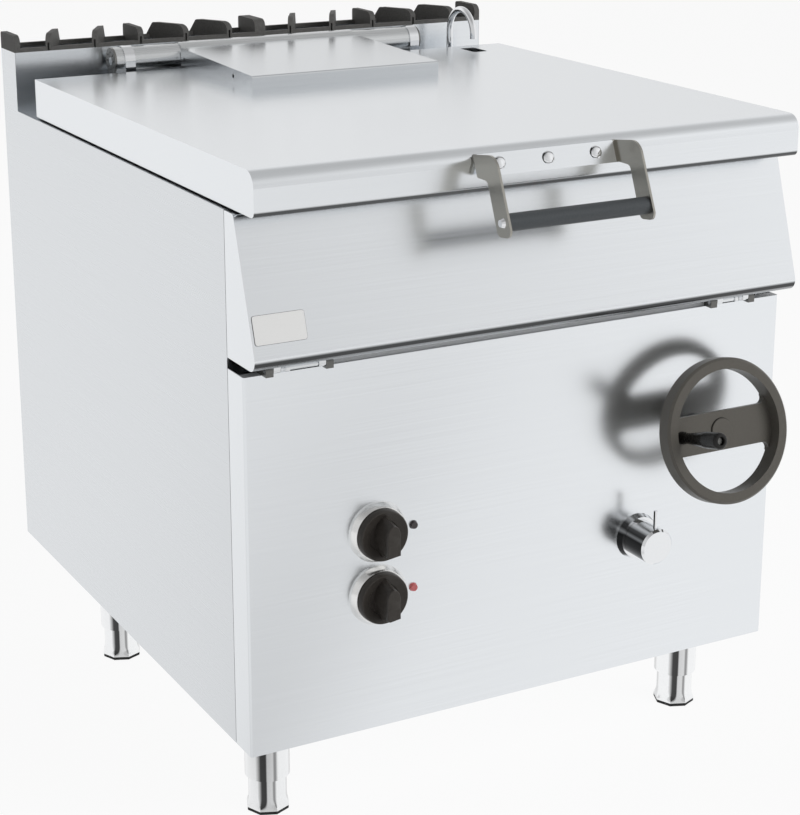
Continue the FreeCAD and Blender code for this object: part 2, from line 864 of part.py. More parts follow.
def pan_tub():
    """Deep drawn tub: rounded corners, thick floor, rim notched for the pouring lip."""
    tub = body("tub_shell")
    outside = sketch(tub, "tub_outside", "XY_Plane", "tub_bottom")
    rectangle(outside, "-tub_half_width", "tub_front", "tub_half_width", "tub_rear", "tub_corner")
    pad(tub, outside, "tub_rim - tub_bottom")
    inside = sketch(tub, "tub_inside", "XY_Plane", "tub_rim")
    rectangle(inside, "-tub_half_width + tub_wall", "tub_front + tub_wall",
              "tub_half_width - tub_wall", "tub_rear - tub_wall", "tub_corner - tub_wall")
    hollow = pocket(tub, inside, "tub_rim - tub_bottom - tub_floor")
    floor_z = value("tub_bottom + tub_floor")
    inner = round_edges(tub, hollow, "tub_floor_round", lambda middle, way: abs(middle.z - floor_z) < 0.01)
    bottom_z = value("tub_bottom")
    round_edges(tub, inner, "tub_base_round", lambda middle, way: abs(middle.z - bottom_z) < 0.01)
    notch = sketch(tub, "lip_notch", "XZ_Plane", "-tub_front - tub_wall * 2")
    rectangle(notch, "-lip_width / 2 + sheet", "deck_top + sheet",
              "lip_width / 2 - sheet", "tub_rim + 1")
    opening = pocket(tub, notch, "lip_cut")
    opening.Reversed = True
    lip = body("pouring_lip")
    section = sketch(lip, "lip_section", "XZ_Plane", "-tub_front")
    outline(section, [
        ("-lip_width / 2", "deck_top"), ("lip_width / 2", "deck_top"),
        ("lip_width / 2", "deck_top + lip_depth"), ("lip_width / 2 - sheet", "deck_top + lip_depth"),
        ("lip_width / 2 - sheet", "deck_top + sheet"), ("-lip_width / 2 + sheet", "deck_top + sheet"),
        ("-lip_width / 2 + sheet", "deck_top + lip_depth"), ("-lip_width / 2", "deck_top + lip_depth"),
    ])
    pad(lip, section, "tub_front - lip_front")
    return keep("pan_tub", fuse("pan_tub", [tub, lip]))


def pan_deck():
    """Deck round the tub, with folded skirts at both sides and the rear."""
    deck = body("pan_deck")
    plan = sketch(deck, "deck_plan", "XY_Plane", "deck_top - deck_sheet")
    rectangle(plan, "-deck_half_width", "panel_return", "deck_half_width", "deck_rear")
    rectangle(plan, "-tub_half_width", "tub_front", "tub_half_width", "tub_rear", "tub_corner")
    pad(deck, plan, "deck_sheet")
    skirt = sketch(deck, "deck_skirt", "XY_Plane", "deck_top - deck_skirt")
    outline(skirt, [
        ("-deck_half_width", "panel_return"), ("-deck_half_width + deck_sheet", "panel_return"),
        ("-deck_half_width + deck_sheet", "deck_rear - deck_sheet"),
        ("deck_half_width - deck_sheet", "deck_rear - deck_sheet"),
        ("deck_half_width - deck_sheet", "panel_return"), ("deck_half_width", "panel_return"),
        ("deck_half_width", "deck_rear"), ("-deck_half_width", "deck_rear"),
    ])
    pad(deck, skirt, "deck_skirt - deck_sheet")
    keep("pan_deck", deck)


def pan_fascia():
    """Sloping front of the pan, hollow and open to the rear, with closed cheeks."""
    fascia = body("pan_fascia")
    slope = math.atan2(value("deck_top - fascia_bottom"), value("fascia_top_y - fascia_front"))
    foot_lead = 1 / math.tan(slope / 2)
    head_lead = math.tan(slope / 2)
    outside = sketch(fascia, "fascia_outside", "YZ_Plane", "-body_width / 2")
    outline(outside, [
        ("panel_return", "fascia_bottom"), ("panel_return", "deck_top"),
        ("fascia_top_y", "deck_top", "fascia_top_round"),
        ("fascia_front", "fascia_bottom", "fascia_round"),
    ])
    pad(fascia, outside, "body_width")
    inside = sketch(fascia, "fascia_inside", "YZ_Plane", "body_width / 2 - sheet")
    outline(inside, [
        ("panel_return + 1", "fascia_bottom + sheet"), ("panel_return + 1", "deck_top - sheet"),
        ("fascia_top_y + %.6f * sheet" % head_lead, "deck_top - sheet", "fascia_top_round - sheet"),
        ("fascia_front + %.6f * sheet" % foot_lead, "fascia_bottom + sheet", "fascia_round - sheet"),
    ])
    pocket(fascia, inside, "body_width - 2 * sheet")
    return keep("pan_fascia", fascia)


def heating():
    """Three hairpin elements under the tub and the insulated tray below them."""
    loops = []
    height = "tub_bottom - heater_radius - free_gap"
    for number in range(HEATER_LOOPS):
        low_y = "heater_front + %d * heater_pitch * 2" % number
        high_y = low_y + " + heater_pitch"
        legs_x = "-heater_half_span"
        first = rod("heater_%d_near" % number, "heater_radius", "2 * heater_half_span",
                    (legs_x, low_y, height), "X")
        second = rod("heater_%d_far" % number, "heater_radius", "2 * heater_half_span",
                     (legs_x, high_y, height), "X")
        bend = doc.addObject("Part::Torus", "heater_%d_bend" % number)
        bend.Placement = Placement(Vector(), Rotation(Vector(0, 0, 1), -90))
        bend.Angle3 = 180
        bind(bend, {
            "Radius1": "heater_pitch / 2", "Radius2": "heater_radius",
            "Placement.Base.x": "heater_half_span",
            "Placement.Base.y": low_y + " + heater_pitch / 2", "Placement.Base.z": height,
        })
        loops.append(fuse("heater_%d" % number, [first, second, bend]))
    keep("heating_elements", group("heating_elements", loops))

    tray = box("tray_outside", ("-tray_half_width", "tray_front", "tub_bottom - tray_depth"),
               ("2 * tray_half_width", "tray_rear - tray_front", "tray_depth"))
    hollow = box("tray_inside", ("-tray_half_width + sheet", "tray_front + sheet",
                                 "tub_bottom - tray_depth + sheet"),
                 ("2 * tray_half_width - 2 * sheet", "tray_rear - tray_front - 2 * sheet", "tray_depth"))
    keep("heater_tray", cut("heater_tray", tray, [hollow]))


pan_tub()
pan_deck()
pan_fascia()
heating()


# Tilt axis: pins in blocks on the cabinet, lugs under the fascia

def pivots():
    """Both pivots of the pan: a pin each, two blocks on the cabinet and two lugs on the pan."""
    pins, blocks, lugs = [], [], []
    for side in ("left", "right"):
        start, end = side + "_pin_start", side + "_pin_end"
        pins.append(rod(side + "_pivot_pin", "pivot_radius", "%s - %s" % (end, start),
                        (start, "tilt_y", "tilt_z"), "X"))
        blocks.append(pivot_block(side + "_outer", start))
        blocks.append(pivot_block(side + "_inner", end + " - pivot_block"))
        lugs.append(pivot_lug(side + "_outer", start + " + pivot_block + free_gap"))
        lugs.append(pivot_lug(side + "_inner", end + " - pivot_block - free_gap - pivot_lug_width"))
    keep("pivot_pins", group("pivot_pins", pins))
    keep("pivot_blocks", group("pivot_blocks", blocks))
    keep("pivot_lugs", group("pivot_lugs", lugs))


def pivot_block(side, low_x):
    """Block on the panel's top edge that holds one end of a pivot pin."""
    tag = side + "_block"
    shelf = "rail_front + rail_depth - tilt_y"
    nose = rod(tag + "_nose", "pivot_lug_radius", "pivot_block", (low_x, "tilt_y", "tilt_z"), "X")
    toe = box(tag + "_toe", (low_x, "tilt_y - pivot_lug_radius", "panel_top"),
              ("pivot_block", shelf + " + pivot_lug_radius", "tilt_z - panel_top"))
    heel = box(tag + "_heel", (low_x, "tilt_y", "panel_top"),
               ("pivot_block", shelf, "tilt_z + pivot_lug_radius - panel_top"))
    bore = rod(tag + "_bore", "pivot_radius + run_fit", "pivot_block", (low_x, "tilt_y", "tilt_z"), "X")
    return cut(tag, fuse(tag + "_solid", [nose, toe, heel]), [bore])


def pivot_lug(side, low_x):
    """Lug under the fascia that turns on a pivot pin."""
    tag = side + "_lug"
    eye = rod(tag + "_eye", "pivot_lug_radius", "pivot_lug_width", (low_x, "tilt_y", "tilt_z"), "X")
    neck = box(tag + "_neck", (low_x, "tilt_y - pivot_lug_radius", "tilt_z"),
               ("pivot_lug_width", "2 * pivot_lug_radius", "fascia_bottom - tilt_z"))
    bore = rod(tag + "_bore", "pivot_radius + run_fit", "pivot_lug_width", (low_x, "tilt_y", "tilt_z"), "X")
    return cut(tag, fuse(tag + "_solid", [eye, neck]), [bore])


pivots()


# Screw jack, worked out at rest. The tilt axis, the jack's foot and its head form a triangle with
# two equal sides, so that the jack swings by exactly half the tilt.

tilt_point = Vector(0, value("tilt_y"), value("tilt_z"))
foot_z = value("shaft_height") - value("jack_foot_y") * math.tan(math.radians(value("shaft_tilt")))
foot_point = Vector(value("jack_x"), value("jack_foot_y"), foot_z)
arm = math.hypot(foot_point.y - tilt_point.y, foot_point.z - tilt_point.z)
head_drop = tilt_point.z - value("jack_head_z")
head_point = Vector(foot_point.x, tilt_point.y + math.sqrt(arm ** 2 - head_drop ** 2), value("jack_head_z"))
jack_length = (head_point - foot_point).Length
rise = math.degrees(math.atan2(head_point.z - foot_point.z, head_point.y - foot_point.y))
JACK = Placement(foot_point, Rotation(Vector(1, 0, 0), rise - 90))
HEAD = Placement(head_point, Rotation())
FOOT = Placement(foot_point, Rotation())


def jack():
    """Swinging bevel case with its housing, the lifting screw and the push tube with its nut."""
    case = rod("case_drum", "case_radius", "2 * case_half", ("-case_half", "0", "0"), "X")
    barrel = rod("housing_barrel", "housing_radius", "housing_reach", ("0", "0", "0"))
    keep("jack_housing", cut("jack_housing", fuse("housing_solid", [case, barrel]), [
        rod("housing_bore", "push_radius + run_fit", "housing_reach", ("0", "0", "screw_start")),
        rod("spigot_bore", "spindle_radius + run_fit", "screw_start", ("0", "0", "screw_start / 2")),
        rod("trunnion_bore", "jack_pin_radius + run_fit", "2 * housing_radius",
            ("-housing_radius", "0", "0"), "X"),
    ]), JACK)
    keep("jack_screw", fuse("jack_screw", [
        rod("screw_bar", "screw_radius", "screw_reach - screw_start - free_gap",
            ("0", "0", "screw_start + free_gap")),
        rod("screw_spigot", "spindle_radius", "screw_start / 2", ("0", "0", "screw_start / 2 + free_gap")),
    ]), JACK)
    start = "%.4f - push_length" % jack_length
    tube = rod("push_outside", "push_radius", "push_length", ("0", "0", start))
    eye = rod("push_eye", "eye_radius", "clevis_gap - 2 * eye_play", ("-clevis_gap / 2 + eye_play", "0", "%.4f" % jack_length), "X")
    keep("push_tube", cut("push_tube", fuse("push_solid", [tube, eye]), [
        rod("nut_bore", "screw_radius + run_fit", "push_nut", ("0", "0", start)),
        rod("push_bore", "push_radius - push_wall", "push_length - push_nut - eye_radius",
            ("0", "0", start + " + push_nut")),
        rod("eye_bore", "jack_pin_radius + run_fit", "clevis_gap - 2 * eye_play",
            ("-clevis_gap / 2 + eye_play", "0", "%.4f" % jack_length), "X"),
    ]), JACK)


def jack_mounts():
    """Clevis and pin under the tub, bracket and trunnion pin behind the front panel."""
    lift = "tub_bottom - jack_head_z"
    cheeks = []
    for number, low_x in enumerate(("clevis_gap / 2", "-clevis_gap / 2 - clevis_sheet")):
        tag = "clevis_%d" % number
        neck = box(tag + "_neck", (low_x, "-clevis_radius", "0"), ("clevis_sheet", "2 * clevis_radius", lift))
        eye = rod(tag + "_eye", "clevis_radius", "clevis_sheet", (low_x, "0", "0"), "X")
        bore = rod(tag + "_bore", "jack_pin_radius + run_fit", "clevis_sheet", (low_x, "0", "0"), "X")
        cheeks.append(cut(tag, fuse(tag + "_solid", [neck, eye]), [bore]))
    cheeks.append(rod("clevis_pin", "jack_pin_radius", "clevis_gap + 2 * clevis_sheet + 2 * pin_overhang",
                      ("-clevis_gap / 2 - clevis_sheet - 2", "0", "0"), "X"))
    keep("jack_clevis", group("jack_clevis", cheeks), HEAD)
    plates = []
    reach_y = "-jack_foot_y + sheet"
    for number, (cheek_x, flange_x) in enumerate((
            ("bracket_gap / 2", "bracket_gap / 2 + bracket_sheet"),
            ("-bracket_gap / 2 - bracket_sheet", "-bracket_gap / 2 - bracket_sheet - bracket_flange"))):
        tag = "bracket_%d" % number
        cheek = box(tag + "_cheek", (cheek_x, reach_y, "-bracket_height / 2"),
                    ("bracket_sheet", "bracket_depth", "bracket_height"))
        flange = box(tag + "_flange", (flange_x, reach_y, "-bracket_height / 2"),
                     ("bracket_flange", "bracket_sheet", "bracket_height"))
        bore = rod(tag + "_bore", "jack_pin_radius + run_fit", "bracket_sheet", (cheek_x, "0", "0"), "X")
        plates.append(cut(tag, fuse(tag + "_solid", [cheek, flange]), [bore]))
    plates.append(rod("trunnion_pin", "jack_pin_radius", "bracket_gap + 2 * bracket_sheet + 2 * pin_overhang",
                      ("-bracket_gap / 2 - bracket_sheet - 2", "0", "0"), "X"))
    keep("jack_bracket", group("jack_bracket", plates), FOOT)


jack()
jack_mounts()


# Handwheel on its inclined shaft; local Z runs outwards along the shaft from the panel's face

SHAFT = Placement(Vector(value("jack_x"), 0, value("shaft_height")),
                  Rotation(Vector(1, 0, 0), 90 - value("shaft_tilt")))
shaft_end = (foot_point - SHAFT.Base).Length - value("case_radius + shaft_gap")


def handwheel():
    """Rim with chamfered edges, flat web across it and a hub bored for the shaft."""
    rim = body("wheel_rim")
    section = sketch(rim, "rim_section", "XZ_Plane")
    inner = "wheel_radius - rim_width"
    outline(section, [
        (inner, "wheel_reach - rim_depth"), ("wheel_radius - rim_chamfer", "wheel_reach - rim_depth"),
        ("wheel_radius", "wheel_reach - rim_depth + rim_chamfer"),
        ("wheel_radius", "wheel_reach - rim_chamfer"), ("wheel_radius - rim_chamfer", "wheel_reach"),
        (inner, "wheel_reach"),
    ])
    revolve(rim, section)
    web = body("wheel_web")
    plan = sketch(web, "web_plan", "XY_Plane", "wheel_reach - web_set_back - web_thickness")
    rectangle(plan, "-wheel_radius + rim_width / 2", "-web_width / 2",
              "wheel_radius - rim_width / 2", "web_width / 2")
    pad(web, plan, "web_thickness")
    corners = [web_corner(number, side, end) for number, (side, end) in enumerate(
        ((1, 1), (1, -1), (-1, 1), (-1, -1)))]
    hub = rod("wheel_hub", "hub_radius", "hub_length",
              ("0", "0", "wheel_reach - web_set_back - hub_length"))
    keep("handwheel", cut("handwheel", fuse("handwheel_solid", [rim, web, hub] + corners), [
        rod("hub_bore", "shaft_radius + run_fit", "hub_length",
            ("0", "0", "wheel_reach - web_set_back - hub_length")),
        rod("spindle_hole", "spindle_radius + run_fit", "web_thickness",
            ("-crank_throw", "0", "wheel_reach - web_set_back - web_thickness")),
    ]), SHAFT)
    keep("wheel_shaft", rod("wheel_shaft", "shaft_radius",
                            "wheel_reach - web_set_back + %.4f" % shaft_end,
                            ("0", "0", "-%.4f" % shaft_end)), SHAFT)
    keep("hub_cap", cone("hub_cap", "hub_cap_radius", "hub_cap_radius - cap_bevel", "hub_cap_height",
                         ("0", "0", "wheel_reach - web_set_back")), SHAFT)


def web_corner(number, side, end):
    """Rounded corner between the web and the inside of the rim."""
    tag = "web_corner_%d" % number
    inner = value("wheel_radius - rim_width")
    middle_y = value("web_width / 2 + web_fillet")
    middle_x = math.sqrt((inner - value("web_fillet")) ** 2 - middle_y ** 2)
    reach = (inner + value("rim_width / 2")) / (inner - value("web_fillet"))
    level = "wheel_reach - web_set_back - web_thickness"
    corner = body(tag)
    plan = sketch(corner, tag + "_plan", "XY_Plane", level)
    outline(plan, [("%.4f" % (side * x), "%.4f" % (end * y)) for x, y in (
        (middle_x, middle_y), (middle_x, value("web_width / 2 - web_fillet / 2")),
        (middle_x * reach, value("web_width / 2 - web_fillet / 2")),
        (middle_x * reach, middle_y * reach))])
    pad(corner, plan, "web_thickness")
    return cut(tag + "_cut", corner, [rod(tag + "_round", "web_fillet", "web_thickness", (
        "%.4f" % (side * middle_x), "%.4f" % (end * middle_y), level))])


def crank_grip():
    """Turning grip on its spindle: slim waist, full head and a socket over the spindle's screw."""
    base = "wheel_reach - web_set_back"
    tip = base + " + crank_length"
    keep("grip_spindle", fuse("grip_spindle", [
        rod("spindle_bar", "spindle_radius", "crank_length - socket_depth + web_thickness",
            ("-crank_throw", "0", base + " - web_thickness")),
        rod("spindle_head", "socket_radius - 1", "2", ("-crank_throw", "0", tip + " - socket_depth")),
    ]), SHAFT)
    grip = body("wheel_grip")
    section = sketch(grip, "grip_section", "XZ_Plane")
    outline(section, [
        ("spindle_radius + run_fit", base + " + free_gap"), ("crank_base_radius", base + " + free_gap"),
        ("crank_base_radius", base + " + crank_collar"), ("crank_waist_radius", base + " + crank_waist", "crank_waist_round"),
        ("crank_tip_radius", tip + " - crank_head", "crank_head_round"), ("crank_tip_radius", tip, "crank_tip_round"),
        ("socket_radius", tip), ("socket_radius", tip + " - socket_depth - free_gap"),
        ("spindle_radius + run_fit", tip + " - socket_depth - free_gap"),
    ])
    revolve(grip, section)
    offset = Placement(Vector(-value("crank_throw"), 0, 0), Rotation())
    keep("wheel_grip", grip, SHAFT.multiply(offset))


def shaft_bearing():
    """Bush in the front panel, cut square to the panel at its flange."""
    bush = rod("bearing_bush", "shaft_radius + bush_wall", "bearing_length", ("0", "0", "-bearing_inside"))
    bore = rod("bearing_bore", "shaft_radius + run_fit", "bearing_length + 2 * bore_over",
               ("0", "0", "-bearing_inside - bore_over"))
    solid = cut("bearing_solid", bush, [bore])
    solid.Placement = SHAFT
    plate = rod("bearing_plate", "bearing_flange_radius", "sheet * 2",
                ("jack_x", "-sheet * 2", "shaft_height"), "Y")
    plate_bore = rod("plate_bore", "shaft_radius + plate_play", "sheet * 4",
                     ("jack_x", "-sheet * 3", "shaft_height"), "Y")
    keep("shaft_bearing", fuse("shaft_bearing", [solid, cut("bearing_disc", plate, [plate_bore])]))


handwheel()
crank_grip()
shaft_bearing()


# Lid

def lid_shell():
    """Hollow lid: rounded nose with its edge turned in below, open underside, slot for the spout."""
    lid = body("lid_shell")
    outside = sketch(lid, "lid_outside", "YZ_Plane", "-lid_half_width")
    outline(outside, [
        ("lid_rear", "lid_bottom"), ("lid_rear", "lid_top"),
        ("lid_front", "lid_top", "nose_top_round"), ("lid_front", "lid_bottom", "nose_bottom_round"),
    ])
    pad(lid, outside, "2 * lid_half_width")
    inside = sketch(lid, "lid_inside", "YZ_Plane", "lid_half_width - lid_sheet")
    outline(inside, [
        ("lid_rear - lid_sheet", "lid_bottom - 1"), ("lid_rear - lid_sheet", "lid_top - lid_sheet"),
        ("lid_front + lid_sheet", "lid_top - lid_sheet", "nose_top_round - lid_sheet"),
        ("lid_front + lid_sheet", "lid_bottom + lid_sheet", "nose_bottom_round - lid_sheet"),
        ("lid_front + nose_return", "lid_bottom + lid_sheet"), ("lid_front + nose_return", "lid_bottom - 1"),
    ])
    pocket(lid, inside, "2 * lid_half_width - 2 * lid_sheet")
    slot = sketch(lid, "lid_slot", "XY_Plane", "lid_top")
    rectangle(slot, "slot_left", "slot_front", "slot_right", "slot_rear", "slot_round")
    pocket(lid, slot, "2 * lid_sheet")
    return keep("lid_shell", lid)


def hinge_box():
    """Wedge shaped cover on the lid and the sleeve behind it that turns on the hinge tube."""
    cover = body("hinge_box")
    outside = sketch(cover, "box_outside", "YZ_Plane", "box_left")
    outline(outside, [
        ("box_front", "lid_top"), ("box_rear", "lid_top"), ("box_rear", "lid_top + box_rear_height"),
        ("box_front", "lid_top + box_front_height", "box_round"),
    ])
    pad(cover, outside, "box_right - box_left")
    inside = sketch(cover, "box_inside", "YZ_Plane", "box_right - strap_sheet")
    outline(inside, [
        ("box_front + strap_sheet", "lid_top - 1"), ("box_rear - 3 * strap_sheet", "lid_top - 1"),
        ("box_rear - 3 * strap_sheet", "lid_top + box_rear_height - 2 * strap_sheet"),
        ("box_front + strap_sheet", "lid_top + box_front_height - strap_sheet"),
    ])
    pocket(cover, inside, "box_right - box_left - 2 * strap_sheet")
    side = sketch(cover, "box_holes", "YZ_Plane", "box_left + 2 * strap_sheet")
    hole(side, "box_front + box_hole_front", "lid_top + box_hole_rise", "box_hole_radius")
    hole(side, "box_front + box_hole_rear", "lid_top + box_hole_rise", "box_hole_radius")
    pocket(cover, side, "4 * strap_sheet")
    keep("hinge_box", cover)

    low_x = "box_left + 2 * strap_sheet"
    width = "box_right - box_left - 4 * strap_sheet"
    drum = rod("sleeve_drum", "knuckle_radius", width, (low_x, "hinge_y", "hinge_z"), "X")
    link = box("sleeve_link", (low_x, "box_rear", "lid_top + 1"),
               (width, "hinge_y - box_rear", "hinge_z - lid_top"))
    bore = rod("sleeve_bore", "hinge_radius + run_fit", width, (low_x, "hinge_y", "hinge_z"), "X")
    trim = box("sleeve_trim", (low_x, "box_rear - knuckle_radius", "lid_top"), (width, "knuckle_radius", "2 * knuckle_radius"))
    keep("hinge_knuckles", cut("sleeve", fuse("sleeve_solid", [drum, link]), [bore, trim]))


def hinge_tube():
    """Counterbalance tube across the rear: tube, torsion bar, drilled caps and two saddles."""
    keep("hinge_tube", pipe("hinge_tube", "hinge_radius", "hinge_radius - hinge_wall",
                            "2 * hinge_half", ("-hinge_half", "hinge_y", "hinge_z"), "X"))
    keep("torsion_bar", rod("torsion_bar", "bar_radius", "2 * hinge_half + 2 * cap_thickness",
                            ("-hinge_half - cap_thickness", "hinge_y", "hinge_z"), "X"))
    plain = cut("right_cap", rod("right_cap_disc", "hinge_radius", "cap_thickness",
                                 ("hinge_half", "hinge_y", "hinge_z"), "X"),
                [rod("right_cap_bore", "bar_radius + run_fit", "cap_thickness",
                     ("hinge_half", "hinge_y", "hinge_z"), "X")])
    holes = [rod("left_cap_bore", "bar_radius + run_fit", "cap_thickness",
                 ("-hinge_half - cap_thickness", "hinge_y", "hinge_z"), "X")]
    for number in range(CAP_HOLES):
        angle = 2 * math.pi * number / CAP_HOLES
        holes.append(rod("cap_hole_%d" % number, "cap_hole_radius", "cap_thickness",
                         ("-hinge_half - cap_thickness",
                          "hinge_y + %.6f * cap_hole_circle" % math.cos(angle),
                          "hinge_z + %.6f * cap_hole_circle" % math.sin(angle)), "X"))
    drilled = cut("left_cap", rod("left_cap_disc", "hinge_radius", "cap_thickness",
                                  ("-hinge_half - cap_thickness", "hinge_y", "hinge_z"), "X"), holes)
    keep("hinge_caps", group("hinge_caps", [drilled, plain]))
    saddles = []
    for number, middle in enumerate(("saddle_left", "saddle_right")):
        tag = "saddle_%d" % number
        low_x = middle + " - saddle_width / 2"
        block = box(tag + "_block", (low_x, "hinge_y - saddle_depth / 2", "deck_top"),
                    ("saddle_width", "saddle_depth", "hinge_z - deck_top"))
        cap = rod(tag + "_cap", "knuckle_radius", "saddle_width", (low_x, "hinge_y", "hinge_z"), "X")
        bore = rod(tag + "_bore", "hinge_radius + run_fit", "saddle_width",
                   (low_x, "hinge_y", "hinge_z"), "X")
        saddles.append(cut(tag, fuse(tag + "_solid", [block, cap]), [bore]))
    keep("hinge_saddles", group("hinge_saddles", saddles))


def water_spout():
    """Gooseneck that rises from the deck and bends forward over the slot of the lid."""
    parts = []
    for tag, radius, start in (("outside", "spout_radius", "deck_top"), ("inside", "spout_bore", "deck_top - 1")):
        riser = rod("spout_riser_" + tag, radius, "spout_bend_z - (%s)" % start,
                    ("spout_x", "spout_y", start))
        drop = rod("spout_drop_" + tag, radius, "spout_bend_z - spout_end_z",
                   ("spout_x", "spout_y - 2 * spout_bend", "spout_end_z"))
        bend = doc.addObject("Part::Torus", "spout_bend_" + tag)
        bend.Placement = Placement(Vector(), Rotation(Vector(1, 1, 1), 120))
        bend.Angle3 = 180
        bind(bend, {
            "Radius1": "spout_bend", "Radius2": radius, "Placement.Base.x": "spout_x",
            "Placement.Base.y": "spout_y - spout_bend", "Placement.Base.z": "spout_bend_z",
        })
        parts.append([riser, bend, drop])
    base = rod("spout_base", "spout_base_radius", "spout_base_height", ("spout_x", "spout_y", "deck_top"))
    keep("water_spout", cut("water_spout", fuse("spout_solid", parts[0] + [base]), parts[1]))


lid_shell()
hinge_box()
hinge_tube()
water_spout()


# Lid handle

lean = math.atan2(value("base_top_y - base_bottom_y"), value("base_top_z - base_bottom_z"))
back_y = value("handle_sheet") / math.cos(lean)


def handle_bracket():
    """Tilted base plate on the nose of the lid and two flat arms that carry the grip."""
    bracket = body("handle_bracket")
    plate = sketch(bracket, "handle_base", "YZ_Plane", "handle_left + handle_sheet / 2")
    outline(plate, [
        ("base_bottom_y", "base_bottom_z"), ("base_bottom_y + %.4f" % back_y, "base_bottom_z"),
        ("base_top_y + %.4f" % back_y, "base_top_z"), ("base_top_y", "base_top_z"),
    ])
    pad(bracket, plate, "handle_right - handle_left - handle_sheet")
    for tag, start in (("left", "handle_left"), ("right", "handle_right - handle_sheet")):
        arm_plate = sketch(bracket, tag + "_arm", "YZ_Plane", start)
        outline(arm_plate, [
            ("base_bottom_y", "base_bottom_z"), ("base_top_y", "base_top_z"),
            ("arm_knee_y", "arm_knee_z", "arm_knee_round"),
            ("grip_y - arm_tip", "grip_z - arm_tip_drop", "arm_tip_round"),
            ("grip_y + arm_tip / 2", "grip_z - arm_tip_drop - arm_tip_lean", "arm_tip_round"),
            ("arm_inner_y", "base_bottom_z", "arm_inner_round"),
        ])
        hole(arm_plate, "grip_y", "grip_z", "grip_bolt_radius + run_fit")
        pad(bracket, arm_plate, "handle_sheet")
    keep("handle_bracket", bracket)


def handle_grip():
    """Round grip between the arms and the bolt through it, with a domed nut at each end."""
    length = "handle_right - handle_left - 2 * handle_sheet"
    bar = rod("grip_bar", "grip_radius", length, ("handle_left + handle_sheet", "grip_y", "grip_z"), "X")
    bore = rod("grip_bore", "grip_bolt_radius + run_fit", length,
               ("handle_left + handle_sheet", "grip_y", "grip_z"), "X")
    keep("handle_grip", cut("handle_grip", bar, [bore]))
    return fuse("grip_bolt", [
        rod("grip_bolt_bar", "grip_bolt_radius", "handle_right - handle_left",
            ("handle_left", "grip_y", "grip_z"), "X"),
        cone("grip_nut_left", "grip_nut_radius - nut_bevel", "grip_nut_radius", "nut_height",
             ("handle_left - nut_height", "grip_y", "grip_z"), "X"),
        cone("grip_nut_right", "grip_nut_radius", "grip_nut_radius - nut_bevel", "nut_height",
             ("handle_right", "grip_y", "grip_z"), "X"),
    ])


def handle_screws():
    """Three slotted screws square to the tilted base plate."""
    screws = []
    for number in (-1, 0, 1):
        tag = "handle_screw_%d" % (number + 2)
        middle = "(handle_left + handle_right) / 2 + %d * base_screw_spacing" % number
        head = cone(tag + "_head", "base_screw_radius", "base_screw_radius - 2", "screw_head",
                    (middle, "0", "0"))
        slot = box(tag + "_slot", (middle + " - base_screw_radius", "-screw_slot / 2", "screw_head - screw_slot_depth"),
                   ("2 * base_screw_radius", "screw_slot", "2 * screw_slot_depth"))
        screws.append(cut(tag, head, [slot]))
    drop = value("base_top_z - base_screw_z")
    spot = Vector(0, value("base_top_y") - drop * math.tan(lean), value("base_screw_z"))
    several = group("handle_screws", screws)
    several.Placement = Placement(spot, Rotation(Vector(1, 0, 0), 90 - math.degrees(lean)))
    return several


handle_bracket()
keep("handle_fasteners", group("handle_fasteners", [handle_grip(), handle_screws()]))


# Controls on the front panel

def dial(node, knob_z, turn):
    """Knob with a round skirt and a raised ridge, on its shaft; gives back its flat bezel."""
    spot = Placement(Vector(value("control_x"), 0, value(knob_z)), Rotation(Vector(0, 1, 0), turn))
    knob = body(node)
    skirt = sketch(knob, node + "_skirt", "XZ_Plane", "bezel_thickness + free_gap")
    hole(skirt, "0", "0", "knob_radius")
    pad(knob, skirt, "knob_skirt")
    ridge = sketch(knob, node + "_ridge", "XZ_Plane", "bezel_thickness + free_gap + knob_skirt")
    rectangle(ridge, "-knob_grip_width / 2", "-knob_radius + knob_grip_inset", "knob_grip_width / 2",
              "knob_radius - knob_grip_inset", "knob_grip_width / 2 - knob_grip_flat")
    pad(knob, ridge, "knob_height - knob_skirt")
    stem = sketch(knob, node + "_shaft", "XZ_Plane", "-knob_shaft_length")
    hole(stem, "0", "0", "knob_shaft_radius")
    pad(knob, stem, "knob_shaft_length + bezel_thickness + free_gap + 1")
    keep(node, knob, spot)
    plate = rod(node + "_bezel_disc", "bezel_radius", "bezel_thickness",
                ("control_x", "-bezel_thickness", knob_z), "Y")
    bore = rod(node + "_bezel_bore", "knob_shaft_radius + 1", "bezel_thickness",
               ("control_x", "-bezel_thickness", knob_z), "Y")
    return cut(node + "_bezel", plate, [bore])


def switches():
    """Selector switch and thermostat behind the panel, each bored for its knob's shaft."""
    shaft = "knob_shaft_radius + run_fit"
    cube = box("switch_body", ("control_x - switch_side / 2", "sheet", "selector_z - switch_side / 2"),
               ("switch_side", "switch_depth", "switch_side"))
    selector = cut("selector_switch", cube, [
        rod("switch_bore", shaft, "knob_shaft_length", ("control_x", "sheet", "selector_z"), "Y")])
    drum = rod("thermostat_body", "switch_side / 2", "switch_depth - switch_step",
               ("control_x", "sheet", "thermostat_z"), "Y")
    thermostat = cut("thermostat", drum, [
        rod("thermostat_bore", shaft, "knob_shaft_length", ("control_x", "sheet", "thermostat_z"), "Y")])
    keep("panel_switches", group("panel_switches", [selector, thermostat]))


